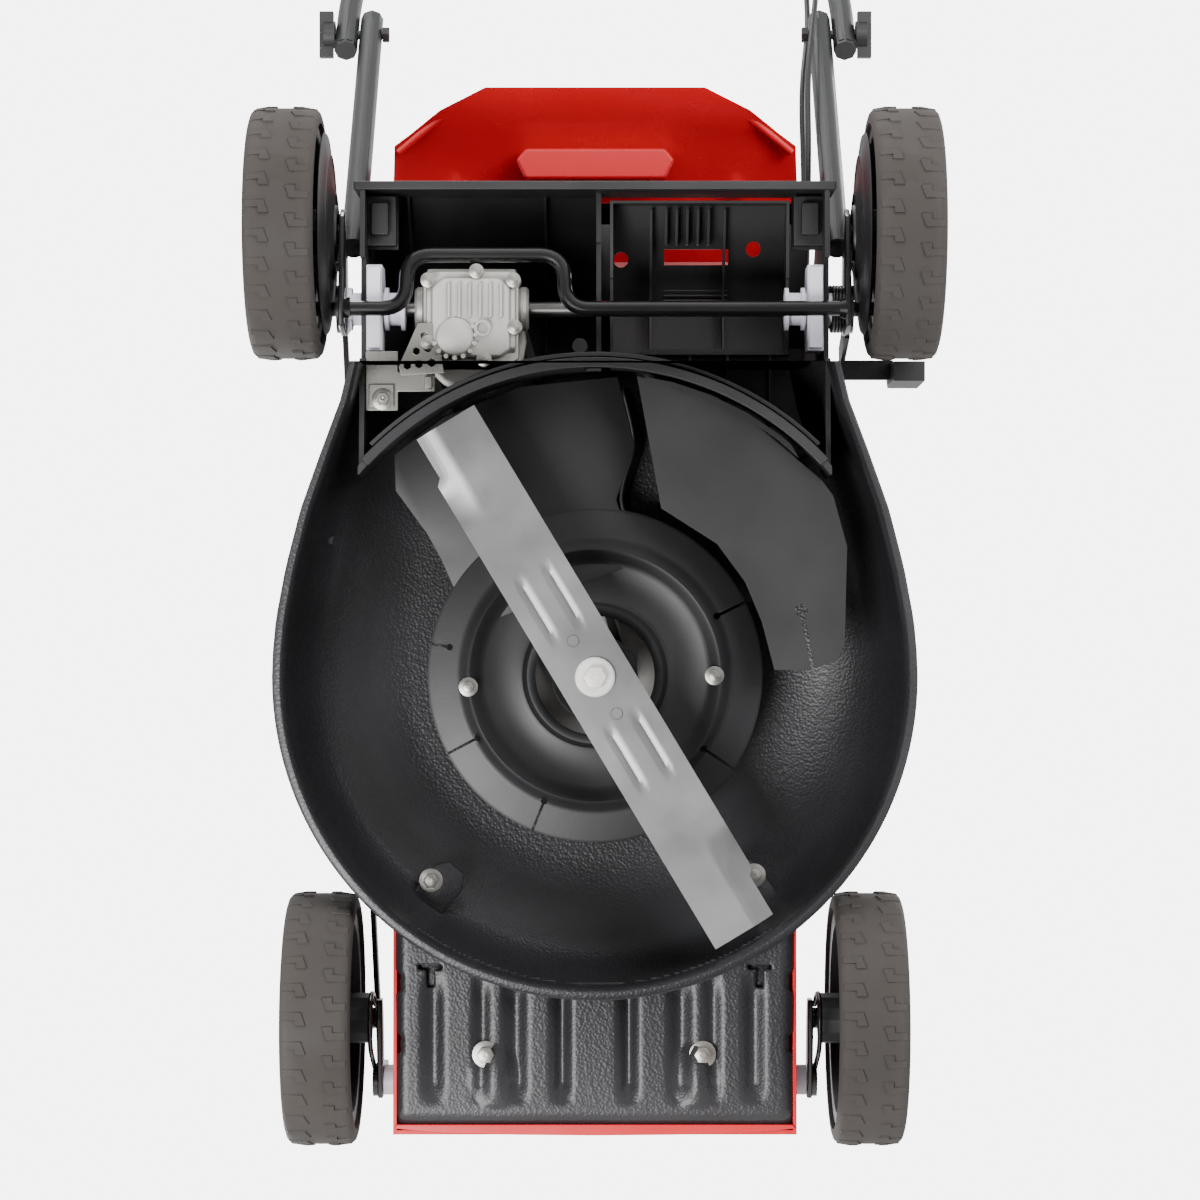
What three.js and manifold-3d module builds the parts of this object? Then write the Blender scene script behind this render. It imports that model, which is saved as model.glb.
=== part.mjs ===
// A petrol rotary mower for a 46 cm cut: pressed steel deck, rear wheel drive, mulching plug in
// its rear tunnel, and a handle that folds forward over the engine.
// Millimetres, +Z up, the front towards -Y, the handle towards +Y, the operator's right at -X.
// All places are first given from the blade's axis at X = 0, Y = 0 and from the ground at Z = 0.
import * as THREE from "three";
import { mergeVertices } from "three/addons/utils/BufferGeometryUtils.js";
import Module from "manifold-3d";

const wasm = await Module();
wasm.setup();

// ---------------------------------------------------------------- driving dimensions
const GAP = 0.3; // between pieces that rest on each other
const CUT = 460; // blade length
const BLADE = { width: 57, thick: 3.5, z: 55.5, heading: 59 };
const DECK = { radius: 250, rim: 40, top: 164, sheet: 3, rear: 245 };
const APRON = { half: 154, front: -352, z: 60 };
const WHEEL = { radius: 100, width: 54, bore: 8.5 };
const REAR = { x: 243, y: 349.5, z: 100 }; // rear wheel centres at +-x
const FRONT = { x: 214.5, y: -270.5, z: 100 }; // front wheel centres at +-x
const SHAFT = { y: 291, z: 112, radius: 6 }; // drive shaft, the rear height pivot too
const NOSE = { y: -321, z: 112, radius: 6 }; // front height pivot
const LINK = { rearRise: 72, frontRise: 62.8, rearX: 204, frontX: 174.5 };
const GUARD_Z = 118; // underside of the belt guard
const BELT_Z = 151; // middle of the drive belt
const GEARBOX = { x: 97.5, y: 284, half: 41.5, inputY: 268 };
const CHASSIS = { half: 185, wall: 4, rear: 389, baffle: 245 };
const HINGE = { y: 306, z: 272 }; // rear flap's hinge rod
const TUBE = { radius: 10, x: 196 };
const HANDLE = { foot: [345, 165], slope: 46, lower: 300, upper: 880, topX: 183 };
const BAIL = { radius: 4, brakeAt: 655, driveAt: 690, offset: 24, spread: 15 };
const CABLE_R = 2.5;

const BLACK = [0x1c1c1d, 0.55, 0.1];
const STEEL_PAINT = [0x202122, 0.5, 0.35];
const RED = [0xc4101a, 0.35, 0.0];
const ALLOY = [0xb9b6b2, 0.5, 0.8];
const ZINC = [0xc9c7c2, 0.35, 0.9];
const WHITE = [0xe4e2ea, 0.5, 0.0];
const RUBBER = [0x3a3735, 0.85, 0.0];
const BLADE_STEEL = [0x8f9092, 0.4, 0.9];

// ---------------------------------------------------------------- solids and their frames
const rad = (degrees) => (degrees * Math.PI) / 180;
const v3 = (x, y, z) => new THREE.Vector3(x, y, z);

// A closed three.js geometry as a solid, with its faces turned outwards.
function solid(geometry) {
  const bare = geometry.clone();
  bare.deleteAttribute("normal");
  bare.deleteAttribute("uv");
  const merged = mergeVertices(bare, 1e-3);
  const make = (tris) =>
    new wasm.Manifold(
      new wasm.Mesh({
        numProp: 3,
        vertProperties: new Float32Array(merged.attributes.position.array),
        triVerts: tris,
      }),
    );
  const tris = new Uint32Array(merged.index.array);
  const made = make(tris);
  if (made.volume() > 0) return made;
  return make(tris.reverse());
}

const AXES = {
  x: new THREE.Matrix4().makeBasis(v3(0, 1, 0), v3(0, 0, 1), v3(1, 0, 0)),
  y: new THREE.Matrix4().makeBasis(v3(1, 0, 0), v3(0, 0, 1), v3(0, -1, 0)),
  z: new THREE.Matrix4(),
};

// An outline swept straight from one level to another. Along x its points are (y, z), along y
// they are (x, z), along z they are (x, y).
function prism(outline, from, to, axis = "z") {
  const shape = new THREE.Shape(outline.map(([a, b]) => new THREE.Vector2(a, b)));
  const made = new THREE.ExtrudeGeometry(shape, {
    depth: to - from,
    bevelEnabled: false,
    curveSegments: 8,
  });
  made.translate(0, 0, axis === "y" ? -to : from);
  return solid(made.applyMatrix4(AXES[axis]));
}

// A block between two corners.
function block([x0, x1], [y0, y1], [z0, z1]) {
  const made = new THREE.BoxGeometry(x1 - x0, y1 - y0, z1 - z0);
  made.translate((x0 + x1) / 2, (y0 + y1) / 2, (z0 + z1) / 2);
  return solid(made);
}

// A profile of (radius, height) turned about an axis through a centre.
function turned(profile, axis = "z", centre = [0, 0, 0], sides = 20) {
  const points = profile.map(([r, h]) => new THREE.Vector2(r, h));
  const made = new THREE.LatheGeometry(points, sides);
  if (axis === "z") made.rotateX(Math.PI / 2);
  if (axis === "x") made.rotateZ(-Math.PI / 2);
  made.translate(...centre);
  return solid(made);
}

// A solid rod or disc of one radius, from one height to another along its axis.
const rod = (r, from, to, axis = "z", centre = [0, 0, 0], sides = 16) =>
  turned([[0, from], [r, from], [r, to], [0, to]], axis, centre, sides);

// A hollow ring.
const ring = (inner, outer, from, to, axis = "z", centre = [0, 0, 0], sides = 20) =>
  turned(
    [[inner, from], [outer, from], [outer, to], [inner, to], [inner, from]],
    axis,
    centre,
    sides,
  );

// The middle line of a bent bar: straight runs with a few stations round each bend.
class BentPath extends THREE.Curve {
  constructor(points, bend, turns = 4) {
    super();
    this.stations = [points[0].clone()];
    for (let i = 1; i < points.length - 1; i++) {
      const back = points[i - 1].clone().sub(points[i]);
      const on = points[i + 1].clone().sub(points[i]);
      const cut = Math.min(bend, 0.48 * back.length(), 0.48 * on.length());
      const start = points[i].clone().addScaledVector(back.normalize(), cut);
      const end = points[i].clone().addScaledVector(on.normalize(), cut);
      const corner = new THREE.QuadraticBezierCurve3(start, points[i], end);
      this.stations.push(...corner.getPoints(turns));
    }
    this.stations.push(points[points.length - 1].clone());
  }
  getPoint(t) {
    const place = t * (this.stations.length - 1);
    const i = Math.min(Math.floor(place), this.stations.length - 2);
    return this.stations[i].clone().lerp(this.stations[i + 1], place - i);
  }
  getPointAt(u) {
    return this.getPoint(u);
  }
  getTangentAt(u) {
    const last = this.stations.length - 1;
    const i = Math.round(u * last);
    const before = this.stations[Math.max(i - 1, 0)];
    return this.stations[Math.min(i + 1, last)].clone().sub(before).normalize();
  }
  getSpacedPoints() {
    return this.stations;
  }
}

// A round bar, tube or cable through the given points.
function bar(points, radius, { bend = 30, sides = 8, turns = 3 } = {}) {
  const path = new BentPath(points, bend, turns);
  const section = new THREE.Shape();
  for (let i = 0; i < sides; i++) {
    const a = (2 * Math.PI * i) / sides;
    const [x, y] = [radius * Math.cos(a), radius * Math.sin(a)];
    if (i) section.lineTo(x, y);
    else section.moveTo(x, y);
  }
  return solid(
    new THREE.ExtrudeGeometry(section, {
      steps: path.stations.length - 1,
      extrudePath: path,
    }),
  );
}

const join = (...parts) => parts.reduce((whole, part) => whole.add(part));
const less = (whole, ...cuts) => cuts.reduce((rest, cut) => rest.subtract(cut), whole);

// The same piece on the other side of the mower.
const mirrored = (made) => made.mirror([1, 0, 0]);

const mower = new THREE.Group();

// A finished solid becomes a named mesh with its own material.
function put(name, made, [color, roughness, metalness]) {
  const { vertProperties, triVerts } = made.getMesh();
  const geometry = new THREE.BufferGeometry();
  geometry.setAttribute("position", new THREE.BufferAttribute(vertProperties, 3));
  geometry.setIndex(new THREE.BufferAttribute(triVerts, 1));
  geometry.computeVertexNormals();
  const mesh = new THREE.Mesh(
    geometry,
    new THREE.MeshStandardMaterial({ color, roughness, metalness }),
  );
  mesh.name = name;
  mower.add(mesh);
}

// A piece and its twin: the one named _left at +X, the one named _right at -X.
function putPair(name, left, finish) {
  put(name + "_left", left, finish);
  put(name + "_right", mirrored(left), finish);
}

// ---------------------------------------------------------------- deck and what hangs in it
// Half-width of the deck's side at a given distance behind the blade axis.
const SIDE = new THREE.SplineCurve(
  [[0, 250], [45, 247], [130, 228], [215, 197], [245, 190]].map(
    ([y, x]) => new THREE.Vector2(y, x),
  ),
);

// A turned bowl whose rear half is drawn out to the deck's plan shape, to end at a given Y.
function deckBowl(profile, rearY) {
  const sides = 36;
  const made = new THREE.LatheGeometry(
    profile.map(([r, h]) => new THREE.Vector2(r, h)),
    sides,
  );
  made.rotateX(Math.PI / 2);
  const place = made.attributes.position;
  for (let i = 0; i < place.count; i++) {
    const [x, y] = [place.getX(i), place.getY(i)];
    const r = Math.hypot(x, y);
    if (y < 1e-6 || r < 1e-6) continue;
    const turn = Math.atan2(y, Math.abs(x)) / rad(60);
    const along = Math.min(turn, 1);
    const half = SIDE.getPoint(along).y * (r / DECK.radius);
    const inward = turn > 1 ? 1 - (turn - 1) / 0.5 : 1;
    place.setXY(i, Math.sign(x) * half * Math.max(inward, 0), rearY * along);
  }
  return solid(made);
}

function deck() {
  const { radius: r, rim, top, sheet, rear } = DECK;
  const outer = deckBowl(
    [[0, rim], [r, rim], [r, rim + 5], [r - 6, rim + 8], [r - 9, 100], [r - 20, 132],
      [r - 42, 150], [r - 72, top - 4], [r - 100, top], [0, top]],
    rear,
  );
  const inner = deckBowl(
    [[0, rim - 5], [r - 10, rim - 5], [r - 10, rim + 8], [r - 12.5, 98], [r - 23, 130],
      [r - 45, 147], [r - 74, top - 7], [r - 102, top - sheet], [0, top - sheet]],
    rear + 60,
  );
  const behind = less(
    block([-CHASSIS.half - 7, CHASSIS.half + 7], [60, 300], [20, 200]),
    rod(CHASSIS.baffle + 7, 10, 220, "z", [0, 0, 0], 48),
  );
  const apron = less(
    prism(
      [[-APRON.half, -195], [-APRON.half, APRON.front], [APRON.half, APRON.front],
        [APRON.half, -195]],
      APRON.z,
      APRON.z + sheet,
    ),
    rod(r - 11, 40, 80, "z", [0, 0, 0], 48),
  );
  const boltHoles = [-84, 84].map((x) => rod(4.5, 50, 70, "z", [x, -296, 0], 10));
  const hole = rod(60, 150, 180, "z", [0, 0, 0], 24);
  const slot = block([176, 224], [105, 109], [128, 132]);
  return less(join(less(outer, inner, behind, hole, slot), apron), ...boltHoles);
}
put("deck", deck(), STEEL_PAINT);

function beltGuard() {
  const z = GUARD_Z;
  const dish = turned(
    [[47.4, z - 6], [56, z - 6], [60, z], [94, z], [100, z - 8], [106, z], [133, z],
      [133, z + 3], [47.4, z + 3], [47.4, z - 6]],
    "z",
    [0, 0, 0],
    24,
  );
  const channel = prism(
    [[98, 37], [123, 93], [134, 113], [159, 147], [160, 176], [120, 206], [60, 230],
      [-18, 238], [-32, 182], [-17, 140], [-32, 89], [20, 70]],
    z,
    z + 3,
  );
  return less(join(dish, channel), rod(47.4, 90, 140, "z", [0, 0, 0], 24));
}
put("belt_guard", beltGuard(), BLACK);

// ---------------------------------------------------------------- rear chassis and tunnel
function rearChassis() {
  const { half, wall, rear, baffle } = CHASSIS;
  const side = prism(
    [[162, 75], [rear, 88], [rear, 150], [HINGE.y + 12, 262], [255, 206], [200, 172],
      [162, 168]],
    half - wall,
    half,
    "x",
  );
  const strip = block([-190, 190], [rear - 5, rear], [88, 150]);
  const boxFloor = block([157, half], [340, rear - 2], [128, 132]);
  const roof = prism(
    [[190, 169], [200, 169], [255, 203], [HINGE.y, 258], [HINGE.y, 262], [255, 207],
      [200, 173], [190, 173]],
    -half,
    half,
    "x",
  );
  const closedBay = prism(
    [[HINGE.y, 258], [rear, 146], [rear, 150], [HINGE.y, 262]],
    -5,
    half,
    "x",
  );
  const partition = prism(
    [[252, 120], [rear - 2, 120], [rear - 2, 149], [HINGE.y, 260], [255, 205], [252, 203]],
    -5,
    -1,
    "x",
  );
  const arc = ring(baffle - 2, baffle + 3, 62, 141, "z", [0, 0, 0], 48);
  const arcWindow = join(
    block([-half + 0.5, half - 0.5], [155, 260], [50, 150]),
    block([-half, half], [158, 184], [60, 142]),
  );
  const tunnelMouth = block([-half + wall, -5], [100, 260], [105, 150]);
  const arcPart = less(arc.intersect(arcWindow), tunnelMouth);
  const lugs = [-150, 150].map((x) =>
    prism(
      [[HINGE.y - 12, 240], [HINGE.y + 4, 240], [HINGE.y + 7, HINGE.z],
        [HINGE.y, HINGE.z + 8], [HINGE.y - 7, HINGE.z]],
      x - 4,
      x + 4,
      "x",
    ),
  );
  const whole = join(
    side, mirrored(side), strip, boxFloor, mirrored(boxFloor), roof, closedBay, partition,
    arcPart, ...lugs,
  );
  const shaftHoles = [-1, 1].map((s) =>
    rod(13.4, s * 183 - 8, s * 183 + 8, "x", [0, SHAFT.y, SHAFT.z]),
  );
  const barSlots = [-1, 1].map((s) =>
    block([s * 183 - 8, s * 183 + 8], [250, 330], [40, 100]),
  );
  const partitionSlot = block([-12, 8], [240, 345], [50, 126]);
  const hingeHole = rod(4.3, -170, 170, "x", [0, HINGE.y, HINGE.z], 12);
  const cableHole = rod(7, 190, 270, "z", [133, 291, 0], 10);
  return less(whole, ...shaftHoles, ...barSlots, partitionSlot, hingeHole, cableHole);
}
put("rear_chassis", rearChassis(), BLACK);
put("flap_hinge_rod", rod(4, -168, 168, "x", [0, HINGE.y, HINGE.z], 12), ZINC);

// The plug: a leaf in the blade chamber, a neck over the baffle, and a ribbed shell in the
// discharge tunnel.
function mulchPlug() {
  const leaf = prism(
    [[-33, 236], [-52, 132], [-96, 104], [-118, 74], [-131, 43], [-141, 5], [-168, 5],
      [-190, 12], [-196, 25], [-198, 102], [-187, 142], [-178, 154], [-112, 210]],
    78,
    81.5,
  );
  const keyhole = join(
    rod(5, 70, 90, "z", [-162, 52, 0], 12),
    prism([[-164, 52], [-173.5, 0], [-171, 0], [-160, 52]], 70, 90),
  );
  const neckArc = ring(235, 239, 78, 150, "z", [0, 0, 0], 48);
  const neck = neckArc.intersect(
    prism([[-40, 252], [-40, 200], [-150, 150], [-160, 172], [-120, 240]], 70, 160),
  );
  const bridge = prism([[-40, 232], [-40, 262], [-168, 262], [-168, 175], [-112, 205]], 146, 150);
  const shell = less(
    prism([[256, 130], [378, 118], [378, 138], [304, 200], [256, 184]], -155, -12, "x"),
    prism([[258, 100], [376, 100], [376, 136], [303.5, 196], [258, 181]], -152.5, -14.5, "x"),
  );
  const slot = block([-108, -56], [332, 344], [100, 240]);
  const holes = [[-21, 336], [-128, 344]].map(([x, y]) =>
    rod(6, 100, 240, "z", [x, y, 0], 12),
  );
  const shaftWay = prism([[265, 60], [265, 128], [SHAFT.y, 132], [317, 128], [317, 60]], -160, -8, "x");
  return less(join(leaf, neck, bridge, shell), keyhole, slot, ...holes, shaftWay);
}
put("mulch_plug", mulchPlug(), BLACK);

// Red cover over the front apron.
function frontCover() {
  const outer = prism([[-357, 62], [-354, 118], [-335, 150], [-290, 168], [-262, 172], [-190, 178],
    [-190, 66], [-300, 64]], -157.5, 157.5, "x");
  const inner = prism([[-354, 50], [-351, 117], [-333, 147], [-290, 165], [-262, 169], [-185, 175],
    [-185, 50]], -154.5, 154.5, "x");
  const axleHole = rod(13, -170, 170, "x", [0, NOSE.y, NOSE.z]);
  const roundDeck = rod(DECK.radius + 1.5, 40, 200, "z", [0, 0, 0], 72);
  return less(outer, inner, axleHole, roundDeck);
}
put("front_cover", frontCover(), RED);

// ---------------------------------------------------------------- gearbox and drive
const atShaft = [0, SHAFT.y, SHAFT.z];

function gearboxCase(low, high) {
  const { x, half, y } = GEARBOX;
  const profile = [
    [y - 38, 92], [y - 26, 80], [y + 20, 80], [y + 38, 100], [y + 38, 130], [y + 28, 138],
    [y - 28, 138], [y - 38, 128],
  ];
  const shell = prism(profile, x - half + 6, x + half - 6, "x");
  const bosses = rod(16, x - half, x + half, "x", atShaft);
  const cut = block([0, 200], [200, 360], [low, high]);
  const shaftBore = rod(SHAFT.radius + 0.3, 0, 200, "x", atShaft);
  const inputBore = rod(5.4, 120, 200, "z", [x, GEARBOX.inputY, 0], 16);
  return less(join(shell, bosses).intersect(cut), shaftBore, inputBore);
}
put("gearbox_lower_case", gearboxCase(70, SHAFT.z - GAP / 2), ALLOY);
put("gearbox_upper_case", gearboxCase(SHAFT.z + GAP / 2, 150), ALLOY);

function torquePlate() {
  const plate = prism([[118, 238], [152, 236], [154, 243], [139, 277], [124, 277]], 76.2, 79.6);
  const holes = [[128, 246], [138, 245], [147, 244], [131, 257], [140, 255], [134, 267]];
  return less(plate, ...holes.map(([x, y]) => rod(3, 70, 90, "z", [x, y, 0], 6)));
}
put("torque_plate", torquePlate(), ZINC);

function gearboxBracket() {
  const foot = block([155, 180.7], [209, 256], [88, 91]);
  const web = block([177.7, 180.7], [209, 256], [88, 126]);
  const hook = block([126, 156], [224, 240], [88, 91]);
  return less(join(foot, web, hook), rod(3, 80, 100, "z", [168, 217, 0], 10));
}
put("gearbox_bracket", gearboxBracket(), ZINC);

function axleSupport() {
  const plate = prism(
    [[257, 96], [325, 96], [325, 128], [308, 142], [274, 142], [257, 128]],
    168,
    180.7,
    "x",
  );
  const bush = rod(13, 150, 203, "x", atShaft);
  return less(join(plate, bush), rod(SHAFT.radius + 0.3, 140, 210, "x", atShaft));
}
putPair("axle_support", axleSupport(), WHITE);
put("drive_shaft", rod(SHAFT.radius, -236, 236, "x", atShaft, 16), BLADE_STEEL);

const PINION = { radius: 15, from: 221, to: 233 };
putPair(
  "pinion",
  less(
    rod(PINION.radius, PINION.from, PINION.to, "x", atShaft, 16),
    rod(SHAFT.radius + 0.3, 200, 240, "x", atShaft, 16),
  ),
  BLADE_STEEL,
);

// A grooved pulley about a vertical axis, for a belt whose middle line runs at BELT_Z.
const pulley = (flange, groove, bore, bottom) =>
  turned([[bore, bottom], [flange - 6, bottom], [flange, BELT_Z - 7], [groove, BELT_Z - 4.6],
    [groove, BELT_Z + 4.6], [flange, BELT_Z + 7], [bore, BELT_Z + 8], [bore, bottom]]);
const PULLEY = { drive: 20, driven: 36 };
const inputPulley = join(
  pulley(PULLEY.driven + 7, PULLEY.driven, 3, BELT_Z - 9).translate([
    GEARBOX.x, GEARBOX.inputY, 0,
  ]),
  rod(5, 122, BELT_Z + 10, "z", [GEARBOX.x, GEARBOX.inputY, 0], 16),
);
put("input_pulley", inputPulley, ZINC);

// The belt lies as a straight-sided loop about both pulleys.
function beltLoop(inset) {
  const [dx, dy] = [GEARBOX.x, GEARBOX.inputY];
  const span = Math.hypot(dx, dy);
  const heading = Math.atan2(dy, dx);
  const [r0, r1] = [PULLEY.drive + inset, PULLEY.driven + inset];
  const lean = Math.acos((r0 - r1) / span);
  const points = [];
  const sweep = (cx, cy, r, from, to, count) => {
    for (let i = 0; i <= count; i++) {
      const a = heading + from + ((to - from) * i) / count;
      points.push([cx + r * Math.cos(a), cy + r * Math.sin(a)]);
    }
  };
  sweep(dx, dy, r1, -lean, lean, 12);
  sweep(0, 0, r0, lean, 2 * Math.PI - lean, 10);
  return points;
}
put(
  "drive_belt",
  less(
    prism(beltLoop(8), BELT_Z - 4, BELT_Z + 4),
    prism(beltLoop(1), BELT_Z - 6, BELT_Z + 6),
  ),
  RUBBER,
);

// ---------------------------------------------------------------- crankshaft and blade
put("crankshaft", rod(12.5, 70, 300, "z"), BLADE_STEEL);

function bladeHub() {
  const boss = turned([[12.8, 60], [34, 60], [34, 66], [22, 70], [22, 140], [12.8, 140],
    [12.8, 60]]);
  return join(boss, pulley(PULLEY.drive + 7, PULLEY.drive, 12.8, 130));
}
put("blade_hub", bladeHub(), BLACK);

function blade() {
  const [tip, half] = [CUT / 2, BLADE.width / 2];
  const base = BLADE.z;
  const outline = [[tip, half - 4], [tip, -half], [-tip + 70, -half], [-tip + 34, -half + 3],
    [-tip, -half + 4], [-tip, half], [tip - 70, half], [tip - 34, half - 3]];
  const flat = prism(outline.reverse(), base, base + BLADE.thick);
  const wing = prism(
    [[half - 22, base + 1], [half - 18, base], [half - 4, base + 14], [half - 7, base + 16]],
    tip - 78,
    tip - 2,
    "x",
  );
  const wings = join(wing, wing.rotate([0, 0, 180]));
  const locators = [-33, 33].map((x) => rod(4.7, 50, 70, "z", [x, 0, 0], 12));
  const centre = rod(10.3, 50, 70, "z");
  return less(join(flat, wings), centre, ...locators).rotate([0, 0, BLADE.heading]);
}
put("blade", blade(), BLADE_STEEL);
put(
  "blade_bolt",
  join(rod(15.5, BLADE.z - 4.3, BLADE.z - GAP), rod(8, BLADE.z - 11, BLADE.z - 4, "z", [0, 0, 0], 6),
    rod(9.8, BLADE.z - 4, 69.6)),
  ZINC,
);

// ---------------------------------------------------------------- wheels and their cranks
// One wheel about an axis along X: the spoked plastic rim, then the tyre round it.
function rim(x, y, z, geared) {
  const [half, hub] = [WHEEL.width / 2, WHEEL.bore];
  const centre = [x, y, z];
  const inner = geared ? 75.4 : 74;
  const barrel = ring(inner, 86, -half + 3, half - 3, "x", centre, 24);
  const disc = ring(hub + 4, inner + 1, 2, 7, "x", centre, 24);
  const boss = ring(hub, 20, geared ? -24 : -half - 11, half - 2, "x", centre, 12);
  const spokes = [0, 1, 2, 3, 4, 5].map((i) =>
    block([6, 22], [19, inner + 1], [-3, 3])
      .rotate([60 * i + 15, 0, 0])
      .translate(centre),
  );
  return join(barrel, disc, boss, ...spokes);
}
function tyre(x, y, z) {
  const half = WHEEL.width / 2;
  const outer = WHEEL.radius / Math.cos(Math.PI / 36);
  const profile = [[86.7, -half], [outer, -half], [outer, half], [86.7, half], [86.7, -half]];
  const made = turned(profile, "x", [0, 0, 0], 36);
  return made.rotate([360 / 72, 0, 0]).translate([x, y, z]);
}
for (const [end, place] of [["rear", REAR], ["front", FRONT]]) {
  const geared = end === "rear";
  putPair(end + "_rim", rim(place.x, place.y, place.z, geared), BLACK);
  putPair(end + "_tyre", tyre(place.x, place.y, place.z), RUBBER);
}

// A stub axle with its washer and nut outside the hub.
function stub(place, from) {
  const at = [0, place.y, place.z];
  const end = place.x + WHEEL.width / 2;
  return join(
    rod(WHEEL.bore - 0.3, from, end - 1.7, "x", at, 16),
    rod(13, end - 1.7, end, "x", at, 16),
  );
}

function rearAxleFrame() {
  const plate = prism(
    [[SHAFT.y - 22, 104], [SHAFT.y - 16, 74], [SHAFT.y + 10, 70], [REAR.y + 12, 80],
      [REAR.y + 20, 100], [REAR.y + 8, 118], [SHAFT.y + 20, 130], [SHAFT.y + 8, 192],
      [SHAFT.y - 8, 192], [SHAFT.y - 20, 126]],
    197,
    201,
    "x",
  );
  const low = prism(
    [[SHAFT.y - 22, 104], [SHAFT.y - 16, 74], [SHAFT.y + 10, 70], [REAR.y + 12, 80],
      [REAR.y + 20, 100], [REAR.y + 8, 118], [SHAFT.y + 20, 130], [SHAFT.y + 8, 146],
      [SHAFT.y - 8, 146], [SHAFT.y - 20, 126]],
    197,
    201,
    "x",
  );
  const bore = rod(13.4, 190, 210, "x", atShaft);
  const linkPin = rod(4, 200, 208, "x", [0, SHAFT.y, SHAFT.z + LINK.rearRise], 12);
  const left = join(less(plate, bore), stub(REAR, 200), linkPin);
  const right = mirrored(join(less(low, bore), stub(REAR, 200)));
  const torsionBar = bar(
    [[-199, 289], [24, 289], [24, 331], [148, 331], [148, 289], [199, 289]].map(([x, y]) =>
      v3(x, y, 80),
    ),
    6,
    { bend: 18, sides: 8, turns: 2 },
  );
  return join(left, right, torsionBar);
}
put("rear_axle_frame", rearAxleFrame(), BLACK);

function dustCover() {
  const cone = turned(
    [[17, 203], [30, 203], [80, 211], [80, 214], [30, 206], [17, 206], [17, 203]],
    "x",
    [0, REAR.y, REAR.z],
    20,
  );
  return less(cone, rod(18, 190, 230, "x", atShaft));
}
putPair("dust_cover", dustCover(), BLACK);

function frontAxleFrame() {
  const outline = (rise) => [
    [NOSE.y - 14, 106], [NOSE.y, 97], [FRONT.y, 84], [FRONT.y + 15, 92], [FRONT.y + 15, 108],
    [FRONT.y, 117], [NOSE.y + 10, 126], [NOSE.y + 7, NOSE.z + rise], [NOSE.y - 7, NOSE.z + rise],
    [NOSE.y - 14, 118],
  ];
  const left = prism(outline(LINK.frontRise + 8), 168, 172, "x");
  const right = mirrored(prism(outline(16), 168, 172, "x"));
  const axle = rod(NOSE.radius, -171, 171, "x", [0, NOSE.y, NOSE.z], 16);
  const linkPin = rod(4, 171, 178.5, "x", [0, NOSE.y, NOSE.z + LINK.frontRise], 12);
  return join(left, right, axle, linkPin, stub(FRONT, 171), mirrored(stub(FRONT, 171)));
}
put("front_axle_frame", frontAxleFrame(), BLACK);
putPair(
  "front_bush",
  less(
    join(
      rod(12, 150, 167.6, "x", [0, NOSE.y, NOSE.z], 20),
      block([146, 150.5], [NOSE.y - 16, NOSE.y + 16], [64, NOSE.z + 14]),
    ),
    rod(NOSE.radius + 0.3, 140, 170, "x", [0, NOSE.y, NOSE.z], 16),
  ),
  WHITE,
);

// The flat rod that ties both cranks together, outside the deck's left shoulder.
function linkRod() {
  const [back, front] = [
    v3(LINK.rearX, SHAFT.y, SHAFT.z + LINK.rearRise),
    v3(LINK.frontX, NOSE.y, NOSE.z + LINK.frontRise),
  ];
  const plan = [[back.x - 2, back.y + 9], [back.x + 2, back.y + 9], [back.x + 2, back.y - 9],
    [front.x + 2, front.y + 11], [front.x + 2, front.y - 11], [front.x - 2, front.y - 11],
    [front.x - 2, front.y + 11], [back.x - 2, back.y - 9]];
  const rise = (y) => front.z + ((back.z - front.z) * (y - front.y)) / (back.y - front.y);
  const side = [[front.y - 11, rise(front.y) - 9], [back.y + 9, rise(back.y) - 6],
    [back.y + 9, rise(back.y) + 6], [front.y - 11, rise(front.y) + 9]];
  // The front hole is wide, because its pin swings through a slightly flatter arc.
  const pins = [[back, 4.3], [front, 6.4]].map(([p, r]) =>
    rod(r, 150, 230, "x", [0, p.y, p.z], 16));
  return less(prism(plan, 150, 210).intersect(prism(side, 150, 230, "x")), ...pins);
}
put("link_rod", linkRod(), BLACK);

// Height lever on the right of the rear frame.
function heightLever() {
  const arm = prism(
    [[SHAFT.y - 20, 152], [SHAFT.y + 4, 152], [SHAFT.y - 22, 226], [SHAFT.y - 40, 226]],
    -205.5,
    -201.5,
    "x",
  );
  const neck = block([-245, -202], [SHAFT.y - 50, SHAFT.y - 34], [206, 212]);
  const grip = prism(
    [[238, 172], [254, 172], [256, 240], [250, 250], [242, 250], [236, 240]],
    -268,
    -243,
    "x",
  );
  return join(arm, neck, grip);
}
put("height_lever", heightLever(), BLACK);

// ---------------------------------------------------------------- engine
const BASE = DECK.top + GAP; // where the engine stands
function crankcase() {
  const body = turned([[13.2, BASE], [100, BASE], [100, BASE + 8], [84, BASE + 12],
    [80, 234], [13.2, 234], [13.2, BASE]]);
  const filler = rod(11, BASE + 4, 222, "z", [74, -74, 0], 12);
  const neck = block([-44, 44], [-90, -60], [182, 232]);
  return less(join(body, filler, neck), rod(13.2, 150, 240));
}
put("crankcase", crankcase(), ALLOY);

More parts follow.
